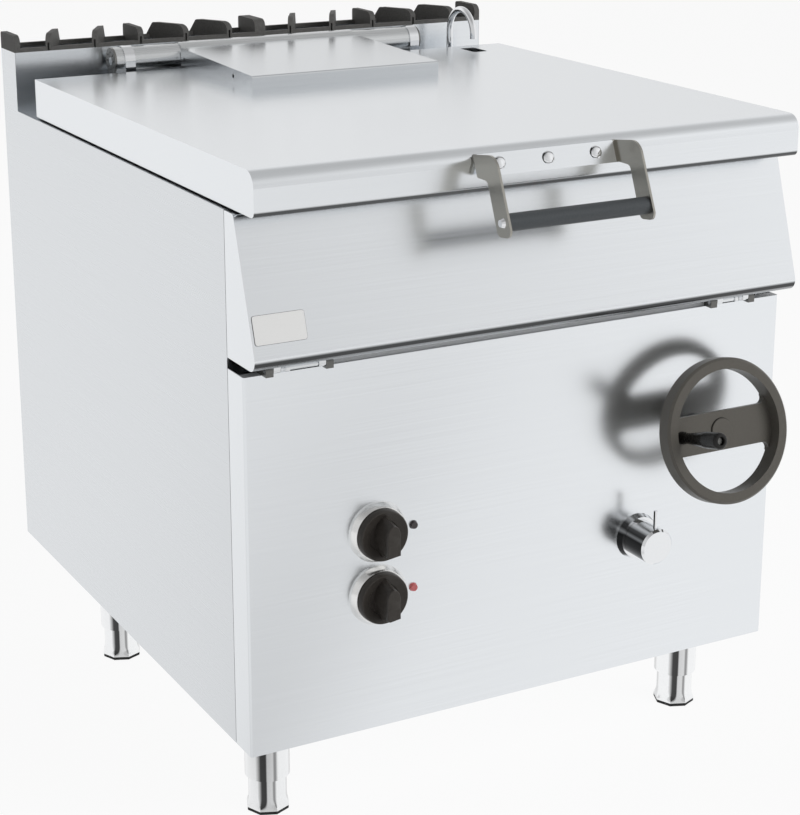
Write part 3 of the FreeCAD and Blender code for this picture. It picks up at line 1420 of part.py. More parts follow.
def lamp(node, lamp_z):
    """Signal lamp: lens with a narrow collar in front of the panel and its holder behind."""
    spot = Placement(Vector(value("control_x + lamp_offset"), 0, value(lamp_z)), Rotation())
    keep(node, fuse(node, [
        cone(node + "_lens", "lamp_radius - lamp_bevel", "lamp_radius", "lamp_height", ("0", "-lamp_height", "0"), "Y"),
        rod(node + "_holder", "lamp_radius - 1 - run_fit", "lamp_depth", ("0", "0", "0"), "Y"),
        rod(node + "_nut", "lamp_radius + lamp_nut_wall", "lamp_nut_height", ("0", "sheet", "0"), "Y"),
    ]), spot)


def panel_plug():
    """Flat plug in the spare hole above the handwheel's shaft line."""
    keep("panel_plug", fuse("panel_plug", [
        rod("plug_face", "plug_radius", "sheet", ("plug_x", "-sheet", "plug_z"), "Y"),
        rod("plug_stub", "plug_radius - plug_step - run_fit", "3 * sheet", ("plug_x", "0", "plug_z"), "Y"),
    ]))


def water_tap():
    """Rose on the panel, turning tap with its lever pin, valve and pipe behind."""
    keep("tap_rose", cut("tap_rose",
         cone("rose_cone", "rose_radius - rose_bevel", "rose_radius", "rose_height", ("tap_x", "-rose_height", "tap_z"), "Y"),
         [rod("rose_bore", "pipe_radius + run_fit", "rose_height", ("tap_x", "-rose_height", "tap_z"), "Y")]))
    start = "-rose_height - free_gap"
    pin_drop = "tap_radius - tap_pin_root"
    keep("tap_knob", fuse("tap_knob", [
        rod("tap_drum", "tap_radius", "tap_reach - rose_height - free_gap - tap_bevel", ("0", "-tap_reach + tap_bevel", "0"), "Y"),
        cone("tap_face", "tap_radius - tap_bevel", "tap_radius", "tap_bevel", ("0", "-tap_reach", "0"), "Y"),
        rod("tap_pin", "tap_pin_radius", "tap_pin_tip - (%s)" % pin_drop, ("0", "-tap_pin_y", pin_drop)),
        rod("tap_stem", "pipe_radius - stem_step", "rose_height + free_gap + tap_stem", ("0", start, "0"), "Y"),
    ]), Placement(Vector(value("tap_x"), 0, value("tap_z")), Rotation()))
    valve = rod("valve_body", "valve_radius", "valve_depth", ("tap_x", "sheet", "tap_z"), "Y")
    sleeve = rod("valve_sleeve", "pipe_radius", "rose_height + sheet", ("tap_x", "-rose_height", "tap_z"), "Y")
    neck = rod("valve_neck", "pipe_radius", "valve_drop", ("tap_x", "supply_front", "tap_z - valve_drop"))
    keep("tap_valve", cut("tap_valve", fuse("valve_solid", [valve, sleeve, neck]), [
        rod("valve_bore", "pipe_radius - stem_step + run_fit", "rose_height + tap_stem + free_gap",
            ("tap_x", "-rose_height", "tap_z"), "Y")]))


def supply_pipe():
    """Rigid pipe from the inlet at the rear to the valve, with two wide bends."""
    runs = []
    low = "supply_z"
    for tag, radius in (("outside", "supply_radius"), ("inside", "supply_bore")):
        rise = rod("supply_rise_" + tag, radius, "supply_z - supply_bend - (%s)" % "body_bottom - inlet_drop",
                   ("tap_x", "inlet_y", "body_bottom - inlet_drop"))
        level = rod("supply_level_" + tag, radius, "inlet_y - supply_front - 2 * supply_bend",
                    ("tap_x", "supply_front + supply_bend", low), "Y")
        climb = rod("supply_climb_" + tag, radius, "tap_z - valve_drop - supply_z - supply_bend",
                    ("tap_x", "supply_front", "supply_z + supply_bend"))
        corners = []
        for end, centre_y, centre_z, turn in (
                ("rear", "inlet_y - supply_bend", "supply_z - supply_bend", 0),
                ("front", "supply_front + supply_bend", "supply_z + supply_bend", 180)):
            bend = doc.addObject("Part::Torus", "supply_%s_%s" % (end, tag))
            spin = Rotation(Vector(1, 0, 0), turn).multiply(Rotation(Vector(1, 1, 1), 120))
            bend.Placement = Placement(Vector(), spin)
            bend.Angle3 = 90
            bind(bend, {
                "Radius1": "supply_bend", "Radius2": radius, "Placement.Base.x": "tap_x",
                "Placement.Base.y": centre_y, "Placement.Base.z": centre_z,
            })
            corners.append(bend)
        runs.append([rise, corners[0], level, corners[1], climb])
    nut = rod("inlet_nut", "inlet_radius", "inlet_drop", ("tap_x", "inlet_y", "body_bottom - inlet_drop"))
    keep("supply_pipe", cut("supply_pipe", fuse("supply_solid", runs[0] + [nut]), runs[1]))


def services():
    """Cable gland, terminal block and contactor on the floor of the cabinet."""
    gland = rod("gland_outside", "gland_radius", "gland_drop", ("gland_x", "inlet_y", "body_bottom - gland_drop"))
    neck = rod("gland_neck", "gland_radius - gland_step - run_fit", "gland_drop", ("gland_x", "inlet_y", "body_bottom"))
    bore = rod("gland_bore", "gland_bore", "2 * gland_drop", ("gland_x", "inlet_y", "body_bottom - gland_drop"))
    keep("cable_gland", cut("cable_gland", fuse("gland_solid", [gland, neck]), [bore]))
    floor = "body_bottom + bottom_sheet"
    base = box("terminal_base", ("gland_x - terminal_length / 2", "terminal_y", floor),
               ("terminal_length", "terminal_base_depth", "terminal_base_height"))
    first = "gland_x - terminal_length / 2 + terminal_edge"
    blocks = []
    for number in range(TERMINALS):
        blocks.append(box("terminal_%d" % number,
                          (first + " + %d * terminal_pitch" % number, "terminal_y + terminal_edge",
                           floor + " + terminal_base_height"),
                          ("terminal_width", "terminal_depth", "terminal_height")))
    contactor = fuse("contactor", [
        box("contactor_body", ("gland_x - contactor_width / 2", "contactor_y", floor),
            ("contactor_width", "contactor_depth", "contactor_height")),
        box("contactor_top", ("gland_x - contactor_top_width / 2", "contactor_y + contactor_step",
                              floor + " + contactor_height"),
            ("contactor_top_width", "contactor_top_depth", "contactor_step")),
    ])
    keep("terminals_and_contactor", group("terminals_and_contactor", [
        fuse("terminal_block", [base] + blocks), contactor]))


keep("knob_bezels", group("knob_bezels", [
    dial("selector_knob", "selector_z", 0),
    dial("thermostat_knob", "thermostat_z", 0),
]))
switches()
lamp("power_lamp", "selector_z")
lamp("heating_lamp", "thermostat_z")
panel_plug()
water_tap()
supply_pipe()
services()


# Flue grille: two cast grates on the upstand

def grate_pattern():
    """One grate: end cheeks, straight middle fin and leaning fins between two low bars."""
    depth = "body_depth - upstand_face"
    wide = "body_width / 2"
    half = "fin_thickness / 2"
    feet = [
        ("0", "0"), (wide + " - fin_thickness", wide + " - fin_thickness"),
        (wide + " / 2 - " + half, wide + " / 2 - " + half),
    ]
    for near in ("fin_near", "fin_far"):
        feet.append((near, near + " + fin_lean"))
        feet.append((wide + " - fin_thickness - " + near, wide + " - fin_thickness - " + near + " - fin_lean"))
    fins = []
    for number, (front_x, rear_x) in enumerate(feet):
        fin = body("grate_fin_%d" % number)
        plan = sketch(fin, "fin_plan_%d" % number, "XY_Plane")
        outline(plan, [
            (front_x, "0"), (front_x + " + fin_thickness", "0"),
            (rear_x + " + fin_thickness", depth), (rear_x, depth),
        ])
        pad(fin, plan, "grate_height")
        fins.append(fin)
    straight = fins_between_faces("straight", fins[:3], depth, "0")
    leaning = fins_between_faces("leaning", fins[3:], depth, "fin_rear_slope")
    bars = [
        box("grate_front_bar", ("0", "0", "0"), (wide, "grate_bar", "grate_bar")),
        box("grate_rear_bar", ("0", depth + " - grate_bar", "0"), (wide, "grate_bar", "grate_bar")),
    ]
    notches = []
    for number, (front_x, rear_x) in enumerate(feet[2:]):
        notches.append(box("grate_notch_%d" % number, (front_x + " + fin_thickness / 2 - fin_notch / 2", "0", "0"),
                           ("fin_notch", "fin_notch_depth", "fin_notch_top")))
    return cut("grate_pattern", fuse("grate_solid", [straight, leaning] + bars), notches)


def fins_between_faces(name, fins, depth, slope):
    """Fins cut to their side profile: rounded at the front, upright or sloping at the rear."""
    side = body("%s_side" % name)
    profile = sketch(side, "%s_profile" % name, "YZ_Plane")
    outline(profile, [
        ("0", "0"), (depth, "0"), (depth, "grate_bar"),
        (depth + " - " + slope, "grate_height", "fin_rear_round"), ("0", "grate_height", "fin_front_round"),
    ])
    pad(side, profile, "body_width / 2")
    shaped = doc.addObject("Part::Common", "%s_fins" % name)
    shaped.Base = fuse("%s_plates" % name, fins)
    shaped.Tool = side
    return shaped


def grates():
    """Left and right grate side by side on the top of the upstand."""
    pattern = grate_pattern()
    doc.recompute()
    for node, low_x in (("flue_grille_left", "-body_width / 2"), ("flue_grille_right", "0")):
        grate = doc.addObject("Part::Feature", node)
        grate.Shape = pattern.Shape
        keep(node, grate, Placement(Vector(value(low_x), value("upstand_face"), value("upstand_top")), Rotation()))


grates()


# The part stands with the middle of its own outline over the origin

doc.recompute()
grip_shape = PARTS["wheel_grip"][0].Shape.copy()
grip_shape.Placement = PARTS["wheel_grip"][1]
front_reach = grip_shape.optimalBoundingBox(False).YMin
SHIFT = Placement(Vector(0, -(front_reach + value("body_depth")) / 2, 0), Rotation())

for node, (thing, placement) in PARTS.items():
    if placement != "follows":
        thing.Placement = SHIFT.multiply(placement)
doc.recompute()

for item in doc.Objects:
    if "Invalid" in item.State or "Error" in item.State:
        raise RuntimeError("%s did not build" % item.Label)

os.makedirs("parts", exist_ok=True)
for node, (thing, placement) in PARTS.items():
    if thing.Shape.isNull() or not thing.Shape.isValid():
        raise RuntimeError("%s has no valid shape" % node)
    thing.Shape.exportStep("parts/%s.step" % node)
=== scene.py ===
import math

import bmesh
import bpy
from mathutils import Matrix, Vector


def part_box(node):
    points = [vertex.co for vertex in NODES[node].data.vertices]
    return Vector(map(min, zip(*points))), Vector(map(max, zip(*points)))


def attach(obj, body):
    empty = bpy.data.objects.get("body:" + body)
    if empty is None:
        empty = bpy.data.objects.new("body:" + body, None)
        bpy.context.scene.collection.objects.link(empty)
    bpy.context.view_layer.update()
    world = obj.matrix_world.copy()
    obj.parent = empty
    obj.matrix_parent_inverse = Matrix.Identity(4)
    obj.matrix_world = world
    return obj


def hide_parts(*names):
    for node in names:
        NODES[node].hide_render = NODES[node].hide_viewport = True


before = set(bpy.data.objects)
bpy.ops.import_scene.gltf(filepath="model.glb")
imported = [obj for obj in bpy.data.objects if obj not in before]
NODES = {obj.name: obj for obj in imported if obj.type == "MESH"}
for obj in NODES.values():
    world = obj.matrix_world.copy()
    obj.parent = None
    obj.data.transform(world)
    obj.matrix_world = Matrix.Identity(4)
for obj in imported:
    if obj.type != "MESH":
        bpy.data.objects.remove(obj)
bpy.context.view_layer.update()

# Places on the part, in metres in its own frame.
MM = 0.001
PANEL_Y = -0.359864
FASCIA_FOOT = Vector((0.0, -0.399064, 0.649))
FASCIA_HEAD = Vector((0.0, -0.340764, 0.830))
PIVOT_Y, PIVOT_Z = -0.367864, 0.6425
SHAFT_START = Vector((0.265, PANEL_Y, 0.4647))
SHAFT_LEAN = math.radians(14.1)
WEB_FACE = 0.065
UP = (0.0, 0.0, 1.0)
FORWARD = (0.0, -1.0, 0.0)


def grey(value):
    return (value, value, value, 1.0)


def tone(colour):
    """A colour given as it looks on a screen, 0 to 255."""
    def linear(value):
        value = value / 255
        return value / 12.92 if value <= 0.04045 else ((value + 0.055) / 1.055) ** 2.4
    return (*map(linear, colour), 1.0)


def feed(tree, socket, source):
    """Links a socket to an output, or gives it a plain value."""
    if isinstance(source, bpy.types.NodeSocket):
        tree.links.new(source, socket)
    else:
        socket.default_value = source


def calculate(tree, operation, first, second=0.0):
    node = tree.nodes.new("ShaderNodeMath")
    node.operation = operation
    feed(tree, node.inputs[0], first)
    feed(tree, node.inputs[1], second)
    return node.outputs[0]


def component(tree, vector, axis):
    parts = tree.nodes.new("ShaderNodeSeparateXYZ")
    tree.links.new(vector, parts.inputs["Vector"])
    return parts.outputs[axis]


def mix(tree, blend, first, second, factor=1.0):
    """Two colours put together."""
    node = tree.nodes.new("ShaderNodeMix")
    node.data_type = "RGBA"
    node.blend_type = blend
    for name, source in (("Factor", factor), ("A", first), ("B", second)):
        feed(tree, node.inputs[name], source)
    return node.outputs["Result"]


def either(tree, factor, first, second):
    """The first shader where the factor is 0, the second one where it is 1."""
    both = tree.nodes.new("ShaderNodeMixShader")
    for socket, source in zip(both.inputs, (factor, first, second)):
        tree.links.new(source, socket)
    return both.outputs[0]


def colours(tree, source, stops, interpolation="LINEAR"):
    """A ramp through stops of place, 0 to 1, and colour."""
    ramp = tree.nodes.new("ShaderNodeValToRGB")
    ramp.color_ramp.interpolation = interpolation
    marks = ramp.color_ramp.elements
    for mark, (place, colour) in zip(marks, (stops[0], stops[-1])):
        mark.position = place
        mark.color = colour
    for place, colour in stops[1:-1]:
        marks.new(place).color = colour
    tree.links.new(source, ramp.inputs["Fac"])
    return ramp.outputs["Color"]


def bands(tree, vector, way, stops):
    """A grey that follows how far a vector reaches along a direction."""
    reach = tree.nodes.new("ShaderNodeVectorMath")
    reach.operation = "DOT_PRODUCT"
    reach.inputs[1].default_value = way
    tree.links.new(vector, reach.inputs[0])
    low, high = stops[0][0], stops[-1][0]
    level = tree.nodes.new("ShaderNodeMapRange")
    level.inputs["From Min"].default_value = low
    level.inputs["From Max"].default_value = high
    tree.links.new(reach.outputs["Value"], level.inputs["Value"])
    return colours(tree, level.outputs["Result"],
                   [((place - low) / (high - low), grey(value)) for place, value in stops])


def node_of(tree, kind):
    """The first node of a kind in a material."""
    return next(node for node in tree.nodes if node.type == kind)


# Where the noise of a worked surface starts and ends, and the smoothest gloss.
GRAIN_LOW, GRAIN_HIGH = 0.3, 0.7
LEAST_ROUGH = 0.02


def grain(tree, stretch):
    """A noise that is stretched along the object's axes, from 0 to 1."""
    place = tree.nodes.new("ShaderNodeTexCoord")
    scale = tree.nodes.new("ShaderNodeMapping")
    scale.inputs["Scale"].default_value = stretch
    noise = tree.nodes.new("ShaderNodeTexNoise")
    noise.inputs["Scale"].default_value = 1.0
    noise.inputs["Detail"].default_value = 3.0
    noise.inputs["Roughness"].default_value = 0.6
    tree.links.new(place.outputs["Object"], scale.inputs["Vector"])
    tree.links.new(scale.outputs["Vector"], noise.inputs["Vector"])
    return noise.outputs["Fac"]


def finish(name, low, high, rough, stretch, metal=0.0, bump=0.0, depth=0.0002,
           coat=0.0, specular=0.5, spread=0.06):
    """A material with a worked surface: colour, gloss and relief all follow one grain."""
    material = bpy.data.materials.new(name)
    material.use_nodes = True
    tree = material.node_tree
    inputs = tree.nodes["Principled BSDF"].inputs
    source = grain(tree, stretch)
    tree.links.new(colours(tree, source, [(GRAIN_LOW, tone(low)), (GRAIN_HIGH, tone(high))]),
                   inputs["Base Color"])
    gloss = tree.nodes.new("ShaderNodeMapRange")
    for end, value in (("From Min", GRAIN_LOW), ("From Max", GRAIN_HIGH),
                       ("To Min", max(rough - spread, LEAST_ROUGH)), ("To Max", rough + spread)):
        gloss.inputs[end].default_value = value
    tree.links.new(source, gloss.inputs["Value"])
    tree.links.new(gloss.outputs["Result"], inputs["Roughness"])
    inputs["Metallic"].default_value = metal
    inputs["Specular IOR Level"].default_value = specular
    inputs["Coat Weight"].default_value = coat
    if bump:
        relief = tree.nodes.new("ShaderNodeBump")
        relief.inputs["Strength"].default_value = bump
        relief.inputs["Distance"].default_value = depth
        tree.links.new(source, relief.inputs["Height"])
        tree.links.new(relief.outputs["Normal"], inputs["Normal"])
    return material


def masked(name, base, other, axis, limit, source="Position"):
    """A finish that gives way to another one beyond a limit, by place or by the way a face looks."""
    material = base.copy()
    material.name = name
    tree, theirs = material.node_tree, other.node_tree
    shader = tree.nodes.new("ShaderNodeBsdfPrincipled")
    marks = node_of(theirs, "VALTORGB").color_ramp.elements
    stops = [(mark.position, tuple(mark.color)) for mark in marks]
    noise = node_of(tree, "TEX_NOISE").outputs["Fac"]
    tree.links.new(colours(tree, noise, stops), shader.inputs["Base Color"])
    metal = theirs.nodes["Principled BSDF"].inputs["Metallic"].default_value
    shader.inputs["Metallic"].default_value = metal
    gloss = node_of(theirs, "MAP_RANGE").inputs
    shader.inputs["Roughness"].default_value = (
        gloss["To Min"].default_value + gloss["To Max"].default_value) / 2
    shape = tree.nodes.new("ShaderNodeNewGeometry")
    size = calculate(tree, "ABSOLUTE", component(tree, shape.outputs[source], axis))
    both = either(tree, calculate(tree, "GREATER_THAN", size, limit),
                  tree.nodes["Principled BSDF"].outputs[0], shader.outputs[0])
    tree.links.new(both, tree.nodes["Material Output"].inputs["Surface"])
    return material


def painted_light_bands(name, base, stops, way=UP, bright=None):
    """A finish with painted shade and painted reflections: darker bands, a share of the colour for how far a
    face looks along a direction, in the part's own frame.

    Faces that look to the front by more than bright keep the whole colour.
    """
    material = base.copy()
    material.name = name
    tree = material.node_tree
    colour = tree.nodes["Principled BSDF"].inputs["Base Color"]
    normal = tree.nodes.new("ShaderNodeTexCoord").outputs["Normal"]
    share = bands(tree, normal, way, stops)
    if bright:
        facing = calculate(tree, "LESS_THAN", component(tree, normal, "Y"), -bright)
        share = mix(tree, "LIGHTEN", share, facing)
    tree.links.new(mix(tree, "MULTIPLY", colour.links[0].from_socket, share), colour)
    return material


# How the grain is stretched: along one axis, or alike in all.
ACROSS = (3.0, 1100.0, 1100.0)
DEEP = (1100.0, 3.0, 1100.0)
UPRIGHT = (1100.0, 1100.0, 3.0)
EVEN = (160.0, 160.0, 160.0)
FINE = (700.0, 700.0, 700.0)

SATIN = finish("satin_across", (234, 237, 240), (239, 242, 245), 0.24, ACROSS, 1.0, 0.01, spread=0.02)
SATIN_DEEP = finish("satin_deep", (220, 223, 226), (225, 228, 231), 0.26, DEEP, 1.0, 0.01, spread=0.02)
COVER = finish("cover_satin", (216, 219, 222), (221, 224, 227), 0.22, ACROSS, 1.0, 0.01, spread=0.02)
ARM = finish("brushed_arm", (160, 158, 151), (172, 170, 163), 0.28, UPRIGHT, 1.0, 0.02, spread=0.02)
DULL = finish("dull_fold", (186, 188, 190), (194, 196, 198), 0.60, ACROSS, 0.35)
POLISHED = finish("polished_steel", (224, 226, 228), (230, 232, 234), 0.14, FINE, 1.0, spread=0.02)
TUBE = finish("turned_tube", (208, 210, 211), (222, 224, 225), 0.26, ACROSS, 1.0, 0.01, spread=0.03)
LEG = finish("ground_leg", (243, 244, 245), (248, 249, 250), 0.12, (220.0, 220.0, 900.0), 1.0, 0.01,
             spread=0.02)
CHROME = finish("chrome", (232, 234, 236), (238, 239, 241), 0.05, FINE, 1.0, spread=0.01)
FRAME = finish("zinc_frame", (150, 155, 158), (190, 194, 197), 0.38, EVEN, 1.0, 0.10)
DARK = finish("dark_metal", (48, 50, 52), (64, 66, 68), 0.42, EVEN, 0.7, 0.12)
BLOCK = finish("pivot_block_steel", (104, 104, 102), (122, 122, 120), 0.34, FINE, 1.0)
BRASS = finish("brass", (196, 160, 88), (222, 188, 112), 0.26, EVEN, 1.0, 0.05)
WHEEL = finish("wheel_plastic", (104, 101, 95), (111, 108, 102), 0.36, FINE, 0.0, 0.10, 0.0001,
               specular=0.25)
KNOB = finish("knob_plastic", (66, 62, 58), (74, 70, 66), 0.36, FINE, 0.0, 0.08, 0.0001, specular=0.25)
BLACK = finish("black_plastic", (24, 23, 22), (31, 30, 29), 0.26, FINE, 0.0, 0.08, 0.0001, specular=0.3)
GRIP = finish("grip_plastic", (80, 84, 87), (90, 94, 97), 0.42, FINE, 0.0, 0.12, 0.0001, specular=0.3)
RUBBER = finish("rubber", (26, 26, 27), (38, 38, 39), 0.75, EVEN, 0.0, 0.25, 0.0004)
CAST = finish("cast_grate", (104, 103, 101), (122, 121, 119), 0.62, (420.0, 420.0, 420.0), 0.0, 0.30,
              0.0004, specular=0.2)
BEZEL = finish("bezel_satin", (236, 236, 235), (244, 244, 243), 0.20, FINE, 1.0, 0.02)
CAP = finish("drilled_cap", (122, 122, 120), (140, 140, 138), 0.30, FINE, 1.0)
LAMP_RED = finish("lamp_red", (212, 96, 98), (226, 112, 112), 0.20, FINE, coat=0.6)
LAMP_OFF = finish("lamp_off", (30, 20, 21), (42, 24, 26), 0.16, FINE, coat=0.6)
WHITE_PLASTIC = finish("switch_plastic", (214, 212, 204), (226, 224, 217), 0.45, EVEN, 0.0, 0.08)
HEATER = finish("heater_sheath", (92, 84, 76), (120, 110, 100), 0.46, EVEN, 0.9, 0.12)
INNER = finish("pan_inside", (196, 199, 201), (210, 212, 214), 0.34, EVEN, 1.0, 0.04)
PLATE = finish("bare_plate", (249, 249, 248), (253, 253, 252), 0.42, FINE, 1.0)
PLATE_EDGE = finish("plate_edge", (96, 98, 100), (110, 112, 114), 0.5, FINE, 0.2)

# The handle's arms lie outside this half width; the panel's top flange looks up.
ARMS_START, LOOKS_UP = 0.0985, 0.9
BRACKET = masked("handle_bracket_steel", SATIN, ARM, "X", ARMS_START)
PANEL = masked("front_panel_satin", SATIN, DULL, "Z", LOOKS_UP, "Normal")
# Painted reflections on the legs and feet: lighter and darker bands for the way a face looks, in the part's
# own frame.
LEG_PAINTED_REFLECTIONS = painted_light_bands("leg_chrome_painted_reflections", LEG, [
    (-1.0, 0.62), (-0.93, 1.0), (-0.46, 1.0), (-0.34, 0.50), (-0.24, 0.07), (0.0, 0.06), (0.06, 0.70),
    (0.30, 0.76), (0.37, 0.32), (0.43, 0.36), (0.52, 1.0), (0.94, 1.0), (1.0, 0.62)],
    (0.88, -0.475, 0.0))
# Painted shade on the lid: a dark band where faces look partly down, on the lower round of its nose.
LID = painted_light_bands("lid_satin_painted_shade", SATIN, [(-0.99, 1.0), (-0.96, 0.10), (-0.30, 0.12), (-0.08, 1.0)])
# Painted shade on the fascia: a dark band and a grey band where its lower round looks down.
FASCIA = painted_light_bands("fascia_satin_painted_shade", SATIN, [
    (-0.99, 0.9), (-0.96, 0.42), (-0.62, 0.36), (-0.52, 0.07), (-0.22, 0.10), (0.0, 1.0)])
# Painted reflections on the tap and the screw heads: dark and light bands for how far a face looks up; faces
# that look to the front keep the whole colour.
TAP = painted_light_bands("tap_chrome_painted_reflections", CHROME, [
    (-0.95, 1.0), (-0.80, 0.95), (-0.68, 0.03), (0.30, 0.02), (0.42, 0.30), (0.55, 0.04),
    (0.72, 0.10), (0.85, 1.0)], bright=0.7)

FINISHES = (
    (PANEL, "front_control_panel"),
    (SATIN, "bottom_panel back_panel flue_duct pan_deck panel_plug"),
    (SATIN_DEEP, "left_side_panel right_side_panel"),
    (FASCIA, "pan_fascia"),
    (LID, "lid_shell"),
    (COVER, "hinge_box"),
    (INNER, "pan_tub"),
    (FRAME, "corner_posts front_rail pan_rest_rail heater_tray jack_bracket jack_clevis"),
    (DARK, "jack_housing shaft_bearing"),
    (BLOCK, "pivot_blocks grip_spindle"),
    (POLISHED, "jack_screw push_tube pivot_pins pivot_lugs wheel_shaft torsion_bar"),
    (TUBE, "hinge_tube hinge_knuckles"),
    (CAP, "hinge_caps"),
    (CHROME, "hinge_saddles handle_fasteners water_spout"),
    (BRACKET, "handle_bracket"),
    (GRIP, "handle_grip"),
    (TAP, "tap_knob tap_rose"),
    (BRASS, "tap_valve supply_pipe"),
    (LEG_PAINTED_REFLECTIONS, "leg_tubes"),
    (LEG, "front_left_foot front_right_foot rear_left_foot rear_right_foot"),
    (WHEEL, "handwheel hub_cap"),
    (BLACK, "wheel_grip"),
    (KNOB, "selector_knob thermostat_knob cable_gland"),
    (BEZEL, "knob_bezels"),
    (LAMP_OFF, "power_lamp"),
    (LAMP_RED, "heating_lamp"),
    (CAST, "flue_grille_left flue_grille_right"),
    (RUBBER, "rest_buffers"),
    (WHITE_PLASTIC, "panel_switches terminals_and_contactor"),
    (HEATER, "heating_elements"),
)
for material, names in FINISHES:
    for name in names.split():
        NODES[name].data.materials.clear()
        NODES[name].data.materials.append(material)


def soften(thing, width):
    """Rounds the sharp edges a little, so that they catch the light."""
    bevel = thing.modifiers.new("edge", "BEVEL")
    bevel.width = width
    bevel.segments = 2
    bevel.limit_method = "ANGLE"
    bevel.angle_limit = math.radians(40.0)
    bevel.use_clamp_overlap = True
    bevel.harden_normals = True


def skin(rows, count):
    """Faces between closed rings of points, with a cap on the first one and on the last one."""
    faces = [tuple(range(count)), tuple(range((rows - 1) * count, rows * count))]
    for row in range(rows - 1):
        for step in range(count):
            after = (step + 1) % count
            faces.append((row * count + step, row * count + after,
                          (row + 1) * count + after, (row + 1) * count + step))
    return faces


def piece(name, body, verts, faces, materials, picks=None, sharp=35.0):
    """A closed mesh in the frame's own place, riding on a body."""
    mesh = bpy.data.meshes.new(name)
    mesh.from_pydata(verts, [], faces)
    work = bmesh.new()
    work.from_mesh(mesh)
    bmesh.ops.remove_doubles(work, verts=work.verts, dist=1e-6)
    bmesh.ops.recalc_face_normals(work, faces=work.faces)
    work.to_mesh(mesh)
    work.free()
    for material in materials:
        mesh.materials.append(material)
    if picks:
        for face in mesh.polygons:
            face.material_index = picks(face.center, face.normal)
    for face in mesh.polygons:
        face.use_smooth = True
    mesh.set_sharp_from_angle(angle=math.radians(sharp))
    thing = bpy.data.objects.new(name, mesh)
    bpy.context.scene.collection.objects.link(thing)
    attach(thing, body)
    return thing


def turned(name, body, material, start, direction, profile, steps=40):
    """A lathed piece: the profile gives how far along the axis and how far out, in millimetres."""
    axis = Vector(direction).normalized()
    side = axis.orthogonal().normalized()
    other = axis.cross(side)
    verts = []
    for along, radius in profile:
        for step in range(steps):
            angle = 2 * math.pi * step / steps
            out = side * math.cos(angle) + other * math.sin(angle)
            verts.append(Vector(start) + (axis * along + out * radius) * MM)
    return piece(name, body, verts, skin(len(profile), steps), [material])


# The plate on the fascia, in metres: its rings say how far they stand out and how high they lie.
PLATE_LEFT, PLATE_RIGHT = -0.3965, -0.328
PLATE_FOOT_Z, PLATE_HIGH = 0.681, 0.0358
PLATE_CORNER = 0.0035
PLATE_RINGS = ((0.0, -0.0003), (0.0, 0.0006), (-0.0004, 0.0009))


def nameplate():
    """A bare plate with rounded corners on the slope of the fascia."""
    up = (FASCIA_HEAD - FASCIA_FOOT).normalized()
    out = Vector((0.0, -up.z, up.y))
    low = FASCIA_FOOT + up * ((PLATE_FOOT_Z - FASCIA_FOOT.z) / up.z)
    inner_left, inner_right = PLATE_LEFT + PLATE_CORNER, PLATE_RIGHT - PLATE_CORNER
    inner_high = PLATE_HIGH - PLATE_CORNER
    corners = ((inner_right, PLATE_CORNER, -90), (inner_right, inner_high, 0),
               (inner_left, inner_high, 90), (inner_left, PLATE_CORNER, 180))
    verts = []
    for grow, lift in PLATE_RINGS:
        spread = PLATE_CORNER + grow
        for centre_x, centre_up, start in corners:
            for turn in range(0, 91, 15):
                angle = math.radians(start + turn)
                verts.append(low + Vector((centre_x + spread * math.cos(angle), 0, 0))
                             + up * (centre_up + spread * math.sin(angle)) + out * lift)
    rows = len(PLATE_RINGS)
    piece("nameplate", "pan", verts, skin(rows, len(verts) // rows),
          [PLATE, PLATE_EDGE], lambda centre, normal: 0 if normal.dot(out) > 0.9 else 1)


# Profiles of a dial, in millimetres: how far in front of the panel and how far out.
DIAL_STEPS = 72
RING_PROFILE = ((0.05, 30.0), (0.05, 40.0), (0.5, 40.3), (1.6, 40.3), (2.2, 39.9), (9.6, 36.3),
                (10.4, 35.4), (10.4, 33.0), (4.0, 30.0))
SKIRT_PROFILE = ((10.8, 8.0), (10.8, 33.4), (11.3, 34.1), (18.2, 33.4), (19.6, 32.6), (20.0, 31.4),
                 (19.4, 30.2), (17.4, 24.0), (16.6, 21.0), (15.6, 20.2), (15.0, 15.0), (14.8, 1.0))
# Levels of its grip: distance from the panel, share of the top's outline, and how much smaller.
GRIP_LEVELS = ((14.0, 0.0, 0.0), (16.0, 0.03, 0.0), (18.5, 0.13, 0.0), (22.0, 0.33, 0.0),
               (27.0, 0.60, 0.0), (33.0, 0.84, 0.0), (39.0, 0.96, 0.0), (42.6, 1.0, 0.0),
               (43.6, 1.0, 0.4), (44.0, 1.0, 1.2))
GRIP_STEPS = 40
GRIP_FOOT_REACH, GRIP_FOOT_HALF, GRIP_FOOT_TIP = 28.5, 13.2, 30.0
GRIP_TOP_HIGH, GRIP_TOP_LOW, GRIP_TOP_HALF = 22.5, -21.0, 9.4
ARCH_START, ARCH_RISE = 8.0, 14.5
END_START, END_RISE = -19.5, 1.5


def round_the_grip(step):
    """The side of the grip that a step is on, and how far down that side it is, 0 to 1."""
    turn = 2 * step / GRIP_STEPS
    return (1, turn) if turn < 1 else (-1, 2 - turn)


def grip_foot(step):
    """The foot of the grip: two bows that meet near the skirt's edge."""
    side, down = round_the_grip(step)
    along = GRIP_FOOT_REACH - 2 * GRIP_FOOT_REACH * down
    bow = math.cos(math.pi / 2 * min(abs(along) / GRIP_FOOT_TIP, 1.0)) ** 0.8
    return side * GRIP_FOOT_HALF * bow, along


